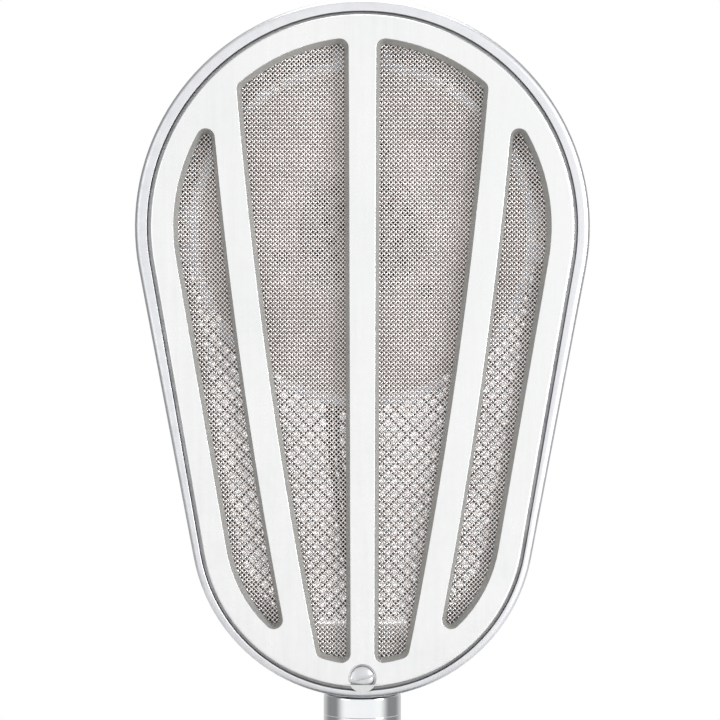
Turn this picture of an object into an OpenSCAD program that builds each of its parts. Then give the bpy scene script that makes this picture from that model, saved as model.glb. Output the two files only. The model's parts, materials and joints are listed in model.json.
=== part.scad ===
// Desktop microphone: a slotted, egg-shaped head that tilts on a chrome stem with a round weighted base.
// +Z is up, the front faces -Y, and the origin is the centre of the base's underside.

/* [Head] */
// Radius of the head's broad upper end
head_r_top = 57; // [47:0.5:69]
// Radius of the head's narrow lower end
head_r_bottom = 43; // [38:0.5:52]
// Distance between the centres of the two ends
head_pitch = 75; // [62:0.5:90]
// Height of the head's lowest point above the table
head_z = 115; // [95:1:160]
// Depth of the rear shell, front to back
shell_d = 52; // [49:0.5:62]
// Thickness of the shell's side walls at the parting plane
shell_wall = 5.5; // [4.6:0.1:6.6]
// Thickness of the shell's rear wall
rear_wall = 3; // [2:0.1:3.6]
// Radius of the shell's rear edge
rear_round = 8; // [5:0.5:9.5]

/* [Front cover] */
// Width of the shell's rim around the cover at the top
rim_top = 3.1; // [2.2:0.1:3.6]
// Width of the shell's rim around the cover at the bottom
rim_bottom = 1.9; // [1.5:0.1:2.6]
// Gap between the cover's edge and the rim
cover_gap = 0.8; // [0.3:0.1:1]
// Thickness of the cover
cover_t = 3.5; // [2.8:0.1:4.2]
// How far the cover stands out of the rim
cover_proud = 0.8; // [0:0.1:1]
// Width of the cover's frame outside the slots
frame_w = 6.1; // [4.6:0.1:6.8]
// Width of the centre bar at the top
centre_bar_top = 7.4; // [6:0.1:11]
// Width of the centre bar at the bottom
centre_bar_bottom = 6.4; // [5:0.1:9]
// Width of each bowed side bar
side_bar_w = 7; // [5.5:0.1:8.5]
// How far a side bar bows out of its chord
side_bar_bow = 2; // [0:0.1:3]
// Corner radius of the slots
slot_corner = 2; // [1:0.1:2.5]

/* [Capsule] */
// How far the capsule's axis lies below the centre of the head's broad end
capsule_drop = 1.2; // [0:0.1:3]
// Radius of the perforated cap
cap_r = 15.7; // [13.4:0.1:16.5]
// Radius of each hole in the cap
cap_hole_r = 1.3; // [1:0.05:1.5]
// Distance between neighbouring cap holes
cap_hole_pitch = 4.7; // [4:0.1:5]
// Radius of the voice coil's winding
coil_r = 9.7; // [9.2:0.05:9.9]
// Radial width of the magnetic gap on each side of the coil
coil_gap = 0.4; // [0.3:0.05:0.5]
// Thickness of the capsule's mounting ring
ring_t = 1.5; // [1:0.1:2.5]
// Width of each ear on the mounting ring
ear_w = 15; // [11:0.5:17]

/* [Tilt joint] */
// Height of the tilt pivot above the head's lowest point
pivot_rise = 7; // [6.5:0.1:8]
// Radius of the pivot bolt's shank
bolt_r = 2; // [1.5:0.1:2.4]
// Running clearance of the bolt in the knuckle's eye
bolt_play = 0.06; // [0.02:0.01:0.1]
// Radius of the knuckle's eye
eye_r = 4.5; // [4:0.1:4.8]

/* [Stem and base] */
// Outside radius of the stem tube
stem_r = 10; // [8.4:0.1:10.4]
// Wall of the stem tube
stem_wall = 1.5; // [1:0.1:2]
// Radius of the base
base_r = 65; // [54:0.5:80]
// Height of the base at the stem
base_h = 30; // [26:0.5:36]
// Height of the base's upright edge
base_edge_h = 15; // [13.5:0.5:17]
// Wall of the base casting
base_wall = 3.7; // [2.8:0.1:4.5]
// Height of the rubber feet
foot_h = 2; // [1.2:0.1:4]
// Radius of the cable gland's bore
gland_bore_r = 2.6; // [1.8:0.1:2.8]

/* [Hidden] */
$fn = 64;
play = 0.05;            // gap between pieces that seat in each other
clear = 0.6;            // gap around pieces that drop in loosely
cut = 1;                // overrun of a cutting solid

// Levels of the head, front to back
rim_y = -25;
seat_y = rim_y + cover_t - cover_proud;
cover_y = seat_y - cover_t;
shell_back_y = rim_y + shell_d;
shell_inner_y = shell_back_y - rear_wall;
rim_round = 1.5;
bottom_c = head_z + head_r_bottom;
top_c = bottom_c + head_pitch;
cavity_top = head_r_top - shell_wall;
cavity_bottom = head_r_bottom - shell_wall + 0.9;
recess_top = head_r_top - rim_top;
recess_bottom = head_r_bottom - rim_bottom;
cover_top = recess_top - cover_gap;
cover_bottom = recess_bottom - cover_gap;

// Meshes
front_mesh_t = 0.8;
tray_t = 1.8;
fine_mesh_t = 0.6;
retainer_t = 1;
fine_mesh_y = shell_inner_y - play - fine_mesh_t;
tray_back_y = fine_mesh_y - play;
tray_front_y = seat_y + 3.3;
retainer_y = seat_y + front_mesh_t;
retainer_w = 3;
retainer_screw_r = 0.8;
retainer_angles = [12, 90, 168];

// Side bars of the slots, from the centre of the head's broad end
bar_top = [0.611 * head_r_top, 36];
bar_foot = [0.355 * head_r_bottom, -head_pitch - 30];

// Bottom of the shell
pivot_z = head_z + pivot_rise;
pocket_x = stem_r + 1;
pocket_front_y = -14.5;
pocket_back_y = 19;
pocket_roof_z = pivot_z + eye_r + 0.7;
platform_z = pocket_roof_z + 1.8;
platform_y = pocket_front_y - 2;
cheek_x = 5.5;
cheek_r = 4;
sink_x = 13.5;
sink_r = 4;
tongue_x = 4.5;
wire_hole_r = 3;
wire_hole_y = 9;
cover_screw_z = head_z + 5.1;
cover_screw_r = 1.45;
cover_screw_head_r = 3;
thread_room = 0.35;     // lets the cover swing out on its top tab with the screw still in it
tab_w = 8;

// Capsule, all round its own axis
capsule_z = top_c - capsule_drop;
ear_screw_r = cavity_top - 4.9;
ear_angles = [0, 90, 180];
ear_end_r = ear_screw_r + 4;
ring_r = cavity_top - 7.3;
notch_angles = [30, 60, 120, 150, 210, 240, 300, 330];
ring_front_y = -14;
ring_back_y = ring_front_y + ring_t;
baffle_r = ring_r - 2.7;
baffle_cone_r = cap_r + 11.3;
baffle_face_y = ring_front_y - 4.5;
baffle_lip_y = baffle_face_y - 1;
baffle_screw_angles = [77, 197, 317];
cap_y = baffle_face_y;
cap_t = 1.2;
silk_y = cap_y + cap_t + play;
silk_t = 0.2;
magnet_stack_r = 20;
baffle_screw_pcr = magnet_stack_r + 1.5;   // outside the magnet stack, in the housing's wall
housing_r = 24;
plate_y = ring_front_y + 2.5;
plate_t = 3.5;
pole_r = coil_r - 0.7 - coil_gap;
yoke_back_y = plate_y + plate_t + 15;
yoke_base_t = 3;
felt_t = 2.5;
housing_back_y = yoke_back_y + felt_t + 2 * play + 1.5;
dome_r = 9;
surround_r = 12.6;
strip_t = 1.6;
lug_xs = [-6, 0, 6];
screw_r = 1.45;
post_r = 4;

// Stem and base
stem_top_z = head_z - 1.5;
knuckle_seam_z = stem_top_z - 5.5;
plug_z = knuckle_seam_z - 10;
stem_bore_r = stem_r - stem_wall;
lead_r = 0.8;
lead_sides = 8;
wire_bore_r = 1.9;
wire_y = min((eye_r + stem_bore_r) / 2 - 0.2, stem_bore_r - lead_r - 1.1);
plate_sheet_t = 1.5;
plate_z = foot_h + plate_sheet_t;
base_in_r = base_r - base_wall;
boss_r = stem_r + 6;
boss_z = base_h - 13;
locknut_h = 5;
washer_h = 1.5;
tube_z = boss_z - washer_h - locknut_h - 1.5;
collar_h = 8;
post_pcr = base_in_r - 9;
post_angles = [45, 135, 225, 315];
weight_in_r = stem_r + 14;
weight_out_r = post_pcr - 5;
weight_h = 6.4;
gland_z = foot_h + 6.3;
gland_r = gland_bore_r + 1;
gland_flange_r = gland_r + 1;
spot_y = base_r - 2.2;

// Middle lines of the head's three leads: x, y and the share of the way up from the hole in the
// platform to the terminal strip
lead_foot_z = platform_z - 1;
lead_top_z = capsule_z - 4.3;
lead_back_y = tray_back_y - tray_t - lead_r - 0.5;
head_lines = [
    [[-6, 14.1, 1], [-6.4, 14.4, 0.935], [-7.4, 14.2, 0.854], [-8.4, 13.6, 0.764], [-9, 13, 0.673],
     [-8.8, 12.6, 0.583], [-8.4, 12.2, 0.492], [-7.4, 11.8, 0.402], [-5.8, 11.4, 0.302],
     [-4.3, 11, 0.201], [-2.6, 10.2, 0.111], [-1.2, 9.2, 0.04], [-0.9, 8.6, 0]],
    [[6, 14.1, 1], [4.6, 15.6, 0.935], [0.6, 16.8, 0.854], [-3.6, 16.2, 0.764], [-6.2, 15.2, 0.673],
     [-6.7, 14.6, 0.583], [-6.4, 14.1, 0.492], [-5.2, 13.6, 0.402], [-3.9, 13.2, 0.302],
     [-2.2, 12.6, 0.201], [-0.6, 11.8, 0.111], [0.7, 10.6, 0.04], [0.9, 8.6, 0]],
    [[0, 14.1, 1], [0.2, 16.4, 0.945], [0.4, 19, 0.854], [-1, 19, 0.764], [-2.4, 18, 0.673],
     [-2.6, 17.2, 0.583], [-2.6, 16.4, 0.492], [-2, 15.8, 0.402], [-0.6, 15.2, 0.302],
     [0.8, 14.8, 0.201], [1.4, 14.2, 0.111], [0.9, 12.6, 0.04], [0, 10.5, 0]]
];
head_routes = [for (line = head_lines) [for (p = line)
    [p[0], min(p[1], lead_back_y), lead_foot_z + p[2] * (lead_top_z - lead_foot_z)]]];
// The same leads inside the stem, from the knuckle to the terminal block: the pair at each side of
// the third one
function side_stem_route(side) = [
    [0.9 * side, wire_y - 0.5, stem_top_z - 0.5], [0.9 * side, wire_y - 0.5, plug_z - 1],
    [side, 0.35 * stem_bore_r, 0.8 * plug_z], [side, 0, 0.5 * plug_z],
    [1.4 * side, 0, plate_z + 16.5], [2.4 * side, 0.2 * stem_r, plate_z + 6.5],
    [4 * side, 0.6 * stem_r, plate_z + 3.5], [5 * side, stem_r, plate_z + 2.3],
    [5 * side, stem_r + 1.2, plate_z + 2.1]
];
stem_routes = [
    side_stem_route(-1), side_stem_route(1),
    [[0, wire_y + 1, stem_top_z - 0.5], [0, wire_y + 0.9, plug_z - 1],
     [0, 0.54 * stem_bore_r, 0.8 * plug_z], [0, 0.2 * stem_bore_r, 0.5 * plug_z],
     [0, 0.26 * stem_bore_r, plate_z + 16.5], [0, 0.4 * stem_r, plate_z + 6.5],
     [0, 0.7 * stem_r, plate_z + 3.5], [0, stem_r, plate_z + 2.3], [0, stem_r + 1.2, plate_z + 2.1]]
];

// ---- shapes shared by several pieces

function arc(centre, r, a0, a1, n) =
    [for (i = [0:n]) let (a = a0 + (a1 - a0) * i / n) centre + r * [cos(a), sin(a)]];

// Two round ends and the straight sides that touch both
function egg(r1, r2) =
    let (lean = asin((r1 - r2) / head_pitch))
    concat(arc([0, 0], r1, -lean, 180 + lean, 36),
           arc([0, -head_pitch], r2, 180 + lean, 360 - lean, 24));

module egg_face(r1, r2) { polygon(egg(r1, r2)); }

// Stands an outline up at the head's place, from y0 back to y1
module slab(y0, y1) {
    translate([0, y1, top_c]) rotate([90, 0, 0]) linear_extrude(y1 - y0) children();
}

// The same on the capsule's axis
module disc_slab(y0, y1) {
    translate([0, y1, capsule_z]) rotate([90, 0, 0]) linear_extrude(y1 - y0) children();
}

// Turns a profile of [radius, y] round the capsule's axis
module turned(profile) {
    translate([0, 0, capsule_z]) rotate([-90, 0, 0]) rotate_extrude() polygon(profile);
}

module ring_y(r_out, r_in, y0, y1) {
    turned([[r_in, y0], [r_out, y0], [r_out, y1], [r_in, y1]]);
}

// A round bar along Y, as a screw or its hole
module rod_y(x, z, r, y0, y1) {
    translate([x, y0, z]) rotate([-90, 0, 0]) cylinder(r = r, h = y1 - y0);
}

module rod_x(z, r, x0, x1) {
    translate([x0, 0, z]) rotate([0, 90, 0]) cylinder(r = r, h = x1 - x0);
}

// A skin through rings of points that all have the same count
module loft(rings) {
    n = len(rings[0]);
    last = len(rings) - 1;
    points = [for (ring = rings) each ring];
    side_faces = [for (k = [0:last - 1], i = [0:n - 1])
        let (a = k * n + i, b = k * n + (i + 1) % n)
        each [[a, b, b + n], [a, b + n, a + n]]];
    start_face = [for (i = [0:n - 1]) n - 1 - i];
    end_face = [for (i = [0:n - 1]) last * n + i];
    polyhedron(points, concat(side_faces, [start_face, end_face]));
}

function unit(v) = v / norm(v);

// A round lead swept along its middle line
module lead(route) {
    last = len(route) - 1;
    rings = [for (k = [0:last])
        let (
            along = unit(route[min(k + 1, last)] - route[max(k - 1, 0)]),
            u = unit(cross(along, [1, 0, 0])),
            v = cross(along, u)
        )
        [for (i = [0:lead_sides - 1]) let (a = 360 * i / lead_sides)
            route[k] + lead_r * (cos(a) * v + sin(a) * u)]];
    loft(rings);
}

// Middle line of the right-hand side bar, run past both ends
function bar_point(t) =
    let (chord = bar_foot - bar_top, side = unit([-chord[1], chord[0]]))
    bar_top + t * chord + 4 * side_bar_bow * t * (1 - t) * side;

module side_bar() {
    steps = 14;
    across = unit([-(bar_foot - bar_top)[1], (bar_foot - bar_top)[0]]) * side_bar_w / 2;
    ts = [for (i = [0:steps]) -0.15 + 1.3 * i / steps];
    polygon(concat([for (t = ts) bar_point(t) + across],
                   [for (i = [0:steps]) bar_point(ts[steps - i]) - across]));
}

module slots() {
    bar_reach = head_pitch + head_r_bottom;
    offset(r = slot_corner, $fn = 24) offset(delta = -slot_corner) difference() {
        egg_face(cover_top - frame_w, cover_bottom - frame_w);
        polygon([[centre_bar_top / 2, head_r_top], [centre_bar_bottom / 2, -bar_reach],
                 [-centre_bar_bottom / 2, -bar_reach], [-centre_bar_top / 2, head_r_top]]);
        side_bar();
        mirror([1, 0]) side_bar();
    }
}

// Children stand at each ear's screw, at the capsule's height
module at_ears() {
    for (a = ear_angles) translate([ear_screw_r * cos(a), 0, capsule_z + ear_screw_r * sin(a)])
        rotate([0, -a, 0]) children();
}

// ---- rear shell

module shell_solid() {
    front = [for (a = [0, 45, 90]) [rim_y + rim_round * (1 - sin(a)), rim_round * (1 - cos(a))]];
    rear = [for (a = [0, 22.5, 45, 67.5, 90])
        [shell_back_y - rear_round * (1 - sin(a)), rear_round * (1 - cos(a))]];
    levels = concat([for (i = [2, 1, 0]) front[i]], rear);
    loft([for (level = levels)
        [for (p = egg(head_r_top - level[1], head_r_bottom - level[1]))
            [p[0], level[0], top_c + p[1]]]]);
}

module rear_shell() {
    color([0.86, 0.87, 0.87]) difference() {
        union() {
            difference() {
                shell_solid();
                slab(rim_y - cut, seat_y) egg_face(recess_top, recess_bottom);
                slab(seat_y - cut, platform_y) egg_face(cavity_top, cavity_bottom);
                slab(platform_y - cut, shell_inner_y) difference() {
                    egg_face(cavity_top, cavity_bottom);
                    translate([-head_r_bottom, -2 * head_pitch])
                        square([2 * head_r_bottom, platform_z - top_c + 2 * head_pitch]);
                }
            }
            ring_posts();
            rod_y(0, cover_screw_z, cover_screw_head_r + 1.2, seat_y, platform_y + 1);
        }
        slab(shell_inner_y - cut, shell_back_y + cut) slots();
        knuckle_pocket();
        for (side = [-1, 1]) rod_x(pivot_z, sink_r, side > 0 ? sink_x : -head_r_bottom,
                                   side > 0 ? head_r_bottom : -sink_x);
        rod_x(pivot_z, bolt_r + play, -sink_x - cut, sink_x + cut);
        rod_y(0, cover_screw_z, cover_screw_r + thread_room, seat_y - cut, platform_y - 0.6);
        top_tab(clear / 2);
        at_ears() rod_y(0, 0, screw_r + play, ring_back_y - cut, ring_back_y + 8);
    }
}

module ring_posts() {
    at_ears() {
        rod_y(0, 0, post_r, ring_back_y, shell_inner_y + cut);
        translate([0, ring_back_y, -post_r * 0.75])
            cube([shell_wall + 2.2, shell_inner_y + cut - ring_back_y, post_r * 1.5]);
    }
}

module knuckle_pocket() {
    difference() {
        translate([-pocket_x, pocket_front_y, head_z - head_r_bottom])
            cube([2 * pocket_x, pocket_back_y - pocket_front_y, pocket_roof_z - head_z + head_r_bottom]);
        for (side = [-1, 1]) rod_x(pivot_z, cheek_r, side > 0 ? cheek_x : -pocket_x - cut,
                                   side > 0 ? pocket_x + cut : -cheek_x);
    }
    translate([0, wire_hole_y, pocket_roof_z - cut])
        cylinder(r = wire_hole_r, h = platform_z - pocket_roof_z + 2 * cut);
}

// The cover's top tab, or with a gap its notch in the shell's ledge
module top_tab(gap) {
    tab_z = top_c + cavity_top + 0.4;
    drop = gap > 0 ? 1.4 : 0;
    translate([-tab_w / 2 - gap, seat_y - play, tab_z - drop])
        cube([tab_w + 2 * gap, 2.4 + gap, 0.8 + gap + drop]);
}

// ---- meshes of the rear shell

module rear_mesh() {
    floor_z = platform_z + clear;
    color([0.80, 0.81, 0.84]) difference() {
        slab(tray_front_y, tray_back_y) egg_face(cavity_top - clear, cavity_bottom - clear);
        slab(tray_front_y - cut, tray_back_y - tray_t)
            egg_face(cavity_top - clear - tray_t, cavity_bottom - clear - tray_t);
        translate([-head_r_bottom, tray_front_y - cut, floor_z - head_r_bottom])
            cube([2 * head_r_bottom, tray_back_y - tray_front_y + 2 * cut, head_r_bottom]);
        at_ears() translate([-post_r - clear, tray_front_y - cut, -ear_w / 2 - 1])
            cube([4 * post_r, tray_back_y - tray_front_y + 2 * cut, ear_w + 2]);
    }
}

module rear_fine_mesh() {
    color([0.62, 0.61, 0.60]) difference() {
        slab(fine_mesh_y, fine_mesh_y + fine_mesh_t)
            egg_face(cavity_top - clear, cavity_bottom - clear);
        translate([-head_r_bottom, fine_mesh_y - cut, platform_z + clear - head_r_bottom])
            cube([2 * head_r_bottom, fine_mesh_t + 2 * cut, head_r_bottom]);
        at_ears() translate([-post_r - clear, fine_mesh_y - cut, -post_r - clear])
            cube([4 * post_r, fine_mesh_t + 2 * cut, 2 * (post_r + clear)]);
    }
}

// ---- front cover

module front_cover() {
    color([0.90, 0.90, 0.90]) difference() {
        union() {
            slab(cover_y, seat_y) egg_face(cover_top, cover_bottom);
            top_tab(0);
        }
        slab(cover_y - cut, seat_y + cut) slots();
        rod_y(0, cover_screw_z, cover_screw_r + play, cover_y - cut, seat_y + cut);
        rod_y(0, cover_screw_z, cover_screw_head_r + 0.3, cover_y - cut, cover_y + 1.8);
        at_retainer_screws() rod_y(0, 0, retainer_screw_r + play, seat_y - 2, seat_y + cut);
    }
}

module front_mesh() {
    color([0.66, 0.65, 0.63]) difference() {
        slab(seat_y, retainer_y)
            egg_face(cavity_top - clear, cavity_bottom - clear);
        front_mesh_holes(seat_y, retainer_y);
    }
}

module mesh_retainer() {
    color([0.55, 0.56, 0.57]) difference() {
        slab(retainer_y, retainer_y + retainer_t) difference() {
            egg_face(cavity_top - clear, cavity_bottom - clear);
            egg_face(cavity_top - clear - retainer_w, cavity_bottom - clear - retainer_w);
        }
        front_mesh_holes(retainer_y, retainer_y + retainer_t);
    }
}

// Room for the cover screw's boss and the retainer's own screws
module front_mesh_holes(y0, y1) {
    boss = cover_screw_head_r + 1.2 + clear;
    translate([-boss, y0 - cut, cover_screw_z - 2 * boss]) cube([2 * boss, y1 - y0 + 2 * cut, 3 * boss]);
    at_retainer_screws() rod_y(0, 0, retainer_screw_r + play, y0 - cut, y1 + cut);
}

module at_retainer_screws() {
    r1 = cavity_top - clear - retainer_w / 2;
    r2 = cavity_bottom - clear - retainer_w / 2;
    for (a = retainer_angles) translate([r1 * cos(a), 0, top_c + r1 * sin(a)]) children();
    for (a = [-35, 215]) translate([r2 * cos(a), 0, bottom_c + r2 * sin(a)]) children();
}

module retainer_screws() {
    color([0.75, 0.74, 0.70]) at_retainer_screws() {
        rod_y(0, 0, retainer_screw_r, seat_y - 1.8, retainer_y + retainer_t + 0.2);
        rod_y(0, 0, retainer_w / 2 - 0.1, retainer_y + retainer_t, retainer_y + retainer_t + 0.8);
    }
}

module slot_cut(x, z, head_r, y0, depth, angle) {
    translate([x, y0 - cut, z]) rotate([0, angle, 0]) translate([-head_r - cut, 0, -head_r * 0.13])
        cube([2 * (head_r + cut), depth + cut, head_r * 0.26]);
}

module cover_screw() {
    head_y = cover_y + 0.4;
    color([0.88, 0.88, 0.86]) difference() {
        union() {
            rod_y(0, cover_screw_z, cover_screw_head_r, head_y, cover_y + 1.75);
            rod_y(0, cover_screw_z, cover_screw_r, head_y + cut, platform_y - 1);
        }
        slot_cut(0, cover_screw_z, cover_screw_head_r, head_y, 0.7, 0);
    }
}

// ---- capsule

module mounting_ring() {
    color([0.84, 0.88, 0.93]) difference() {
        union() {
            ring_y(ring_r, housing_r + play, ring_front_y, ring_back_y);
            for (a = ear_angles) disc_slab(ring_front_y, ring_back_y) rotate(a) intersection() {
                circle(ear_end_r);
                translate([housing_r + 2, -ear_w / 2]) square([ear_end_r, ear_w]);
            }
        }
        for (a = notch_angles) disc_slab(ring_front_y - cut, ring_back_y + cut) rotate(a) {
            translate([baffle_r + 1.6, 0]) circle(1.5, $fn = 24);
            translate([baffle_r + 1.6, -1.5]) square([ring_r, 3]);
        }
        at_ears() rod_y(0, 0, screw_r + 0.25, ring_front_y - cut, ring_back_y + cut);
    }
}

module ring_washers() {
    color([0.78, 0.76, 0.66]) at_ears() difference() {
        rod_y(0, 0, 3.3, ring_front_y - 0.5, ring_front_y);
        rod_y(0, 0, screw_r + 0.25, ring_front_y - 0.5 - cut, ring_front_y + cut);
    }
}

module ring_screws() {
    head_y = ring_front_y - 2.2;
    color([0.80, 0.77, 0.66]) at_ears() difference() {
        union() {
            rod_y(0, 0, 2.8, head_y, ring_front_y - 0.5);
            rod_y(0, 0, screw_r, ring_front_y - 0.6, ring_back_y + 7);
        }
        slot_cut(0, 0, 2.8, head_y, 0.8, 30);
    }
}

module capsule_baffle() {
    seat_r = cap_r - 1.2;
    color([0.88, 0.84, 0.82]) difference() {
        turned([
            [cap_r + play, baffle_lip_y], [cap_r + 1.8, baffle_lip_y], [cap_r + 1.8, baffle_face_y],
            [baffle_cone_r, baffle_face_y], [baffle_r, ring_front_y - 1.2], [baffle_r, ring_front_y],
            [seat_r, ring_front_y], [seat_r, silk_y + silk_t + play],
            [cap_r + play, silk_y + silk_t + play]
        ]);
        at_baffle_screws() {
            rod_y(0, 0, 1 + play, baffle_face_y - cut, ring_front_y + cut);
            rod_y(0, 0, 1.9, baffle_face_y - cut, baffle_face_y + 1.3);
        }
    }
}

module at_baffle_screws() {
    for (a = baffle_screw_angles)
        translate([baffle_screw_pcr * cos(a), 0, capsule_z + baffle_screw_pcr * sin(a)]) children();
}

module baffle_screws() {
    head_y = baffle_face_y + 0.2;
    color([0.30, 0.29, 0.30]) at_baffle_screws() difference() {
        union() {
            rod_y(0, 0, 1.65, head_y, baffle_face_y + 1.25);
            rod_y(0, 0, 1, baffle_face_y + 1, ring_front_y + 4.5);
        }
        slot_cut(0, 0, 1.65, head_y, 0.5, 20);
    }
}

module perforated_cap() {
    rows = 3;
    turn = -16.6;
    color([0.50, 0.46, 0.45]) difference() {
        ring_y(cap_r, 0, cap_y, cap_y + cap_t);
        for (i = [-rows:rows], j = [-rows:rows]) {
            p = cap_hole_pitch * [i + j / 2, j * sin(60)];
            q = [p[0] * cos(turn) - p[1] * sin(turn), p[0] * sin(turn) + p[1] * cos(turn)];
            if (norm(p) < 2.9 * cap_hole_pitch && norm(p) + cap_hole_r < cap_r - 1)
                rod_y(q[0], capsule_z + q[1], cap_hole_r, cap_y - cut, cap_y + cap_t + cut);
        }
    }
}

module dust_silk() {
    color([0.12, 0.11, 0.12]) ring_y(cap_r, 0, silk_y, silk_y + silk_t);
}

module diaphragm() {
    skin = 0.25;
    rise = 1.6;
    steps = 8;
    base_y = plate_y - 2;
    dome = [for (i = [0:steps]) [dome_r * i / steps, base_y - rise * (1 - pow(i / steps, 2))]];
    roll = [for (i = [1:steps])
        [dome_r + (surround_r - dome_r) * i / steps, base_y - 0.5 * sin(180 * i / steps)]];
    edge = concat(dome, roll);
    back = [for (i = [len(edge) - 1:-1:0]) edge[i] + [0, skin]];
    color([0.86, 0.84, 0.74]) turned(concat(edge, back));
}

module voice_coil() {
    color([0.72, 0.42, 0.20])
        ring_y(coil_r, coil_r - 0.7, plate_y - 2 + 0.25 + play, plate_y + plate_t - 0.3);
}

module diaphragm_clamp() {
    color([0.70, 0.71, 0.72]) ring_y(magnet_stack_r, surround_r + 0.4, ring_front_y + play, plate_y);
}

module top_plate() {
    color([0.72, 0.72, 0.72]) ring_y(magnet_stack_r, coil_r + coil_gap, plate_y, plate_y + plate_t);
}

module pole_piece() {
    color([0.70, 0.70, 0.71]) ring_y(pole_r, 0, plate_y, plate_y + plate_t + 2);
}

module magnet() {
    color([0.36, 0.36, 0.38])
        ring_y(pole_r - 0.4, 0, plate_y + plate_t + 2, yoke_back_y - yoke_base_t);
}

module magnet_yoke() {
    color([0.66, 0.66, 0.67]) turned([
        [0, yoke_back_y - yoke_base_t], [magnet_stack_r - 3, yoke_back_y - yoke_base_t],
        [magnet_stack_r - 3, plate_y + plate_t], [magnet_stack_r, plate_y + plate_t],
        [magnet_stack_r, yoke_back_y], [0, yoke_back_y]
    ]);
}

module capsule_housing() {
    bore_r = magnet_stack_r + 0.15;
    back = housing_back_y - 1.5;
    color([0.34, 0.34, 0.36]) difference() {
        turned([
            [bore_r, ring_front_y], [housing_r, ring_front_y], [housing_r, ring_back_y],
            [housing_r + 5, ring_back_y], [housing_r + 5, ring_back_y + 1.5],
            [housing_r, ring_back_y + 1.5], [housing_r, housing_back_y], [0, housing_back_y],
            [0, back], [bore_r, back]
        ]);
        at_baffle_screws() rod_y(0, 0, 1 + play, ring_front_y - cut, ring_front_y + 5);
        for (a = [45, 135, 225, 315])
            rod_y(14 * cos(a), capsule_z + 14 * sin(a), 2, back - cut, housing_back_y + cut);
    }
}

module damping_felt() {
    color([0.45, 0.20, 0.18])
        ring_y(magnet_stack_r - 0.5, 0, yoke_back_y + play, yoke_back_y + play + felt_t);
}

module terminal_strip() {
    color([0.45, 0.26, 0.12]) translate([-10, housing_back_y, capsule_z - 4])
        cube([20, strip_t, 8]);
}

module terminal_lugs() {
    y0 = housing_back_y + strip_t;
    color([0.82, 0.66, 0.35]) for (x = lug_xs) {
        rod_y(x, capsule_z, 1.6, y0, y0 + 1);
        translate([x - 1.1, y0, capsule_z - 4]) cube([2.2, 0.5, 4]);
    }
}

module capsule_leads() {
    color([0.10, 0.10, 0.14]) for (route = head_routes) lead(route);
}

// ---- tilt joint and stem

module pivot_bolt() {
    color([0.78, 0.78, 0.78]) difference() {
        union() {
            rod_x(pivot_z, bolt_r, -sink_x - 1, sink_x + 4.5);
            rod_x(pivot_z, 3.5, -sink_x - 3.4, -sink_x - 0.8);
        }
        translate([-sink_x - 4.4, -4, pivot_z - 0.5]) cube([2, 8, 1]);
    }
}

module pivot_washers() {
    color([0.74, 0.74, 0.74]) for (x = [-sink_x - 0.8, sink_x]) difference() {
        rod_x(pivot_z, sink_r - 0.2, x, x + 0.8);
        rod_x(pivot_z, bolt_r + play, x - cut, x + 0.8 + cut);
    }
}

module friction_washers() {
    color([0.40, 0.22, 0.16]) for (x = [-cheek_x + play, tongue_x + play]) difference() {
        rod_x(pivot_z, cheek_r, x, x + cheek_x - tongue_x - 2 * play);
        rod_x(pivot_z, bolt_r + play, x - cut, cheek_x + cut);
    }
}

module pivot_nut() {
    color([0.76, 0.76, 0.76]) difference() {
        translate([sink_x + 0.8, 0, pivot_z]) rotate([0, 90, 0]) cylinder(r = 3.9, h = 3.2, $fn = 6);
        rod_x(pivot_z, bolt_r + play, sink_x, sink_x + 5);
    }
}

module swivel_knuckle() {
    color([0.90, 0.91, 0.92]) difference() {
        union() {
            translate([0, 0, plug_z]) cylinder(r = stem_bore_r - play, h = 10 + play);
            translate([0, 0, knuckle_seam_z]) cylinder(r = stem_r, h = stem_top_z - knuckle_seam_z);
            translate([-tongue_x, -eye_r, stem_top_z - 1])
                cube([2 * tongue_x, 2 * eye_r, pivot_z - stem_top_z + 1]);
            rod_x(pivot_z, eye_r, -tongue_x, tongue_x);
        }
        rod_x(pivot_z, bolt_r + bolt_play, -tongue_x - cut, tongue_x + cut);
        translate([0, wire_y, plug_z - cut]) cylinder(r = wire_bore_r, h = stem_top_z - plug_z + 2 * cut);
    }
}

module stem_tube() {
    color([0.92, 0.93, 0.94]) translate([0, 0, tube_z]) difference() {
        cylinder(r = stem_r, h = knuckle_seam_z - tube_z);
        translate([0, 0, -cut]) cylinder(r = stem_bore_r, h = knuckle_seam_z - tube_z + 2 * cut);
    }
}

module ring_z(r_out, r_in, z0, z1) {
    rotate_extrude() translate([r_in, z0]) square([r_out - r_in, z1 - z0]);
}

module stem_collar() {
    soft = 3;
    color([0.90, 0.91, 0.92]) rotate_extrude() polygon(concat(
        [[stem_r + play, base_h], [boss_r, base_h]],
        arc([boss_r - soft, base_h + collar_h - soft], soft, 0, 90, 6),
        [[stem_r + play, base_h + collar_h]]
    ));
}

module stem_washer() {
    color([0.70, 0.70, 0.70]) ring_z(boss_r - 0.5, stem_r + play, boss_z - washer_h, boss_z);
}

module stem_locknut() {
    color([0.74, 0.74, 0.72]) translate([0, 0, boss_z - washer_h - locknut_h]) difference() {
        cylinder(r = boss_r, h = locknut_h, $fn = 6);
        translate([0, 0, -cut]) cylinder(r = stem_r + play, h = locknut_h + 2 * cut);
    }
}

module stem_leads() {
    color([0.10, 0.10, 0.14]) for (route = stem_routes) lead(route);
}

// ---- base

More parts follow.
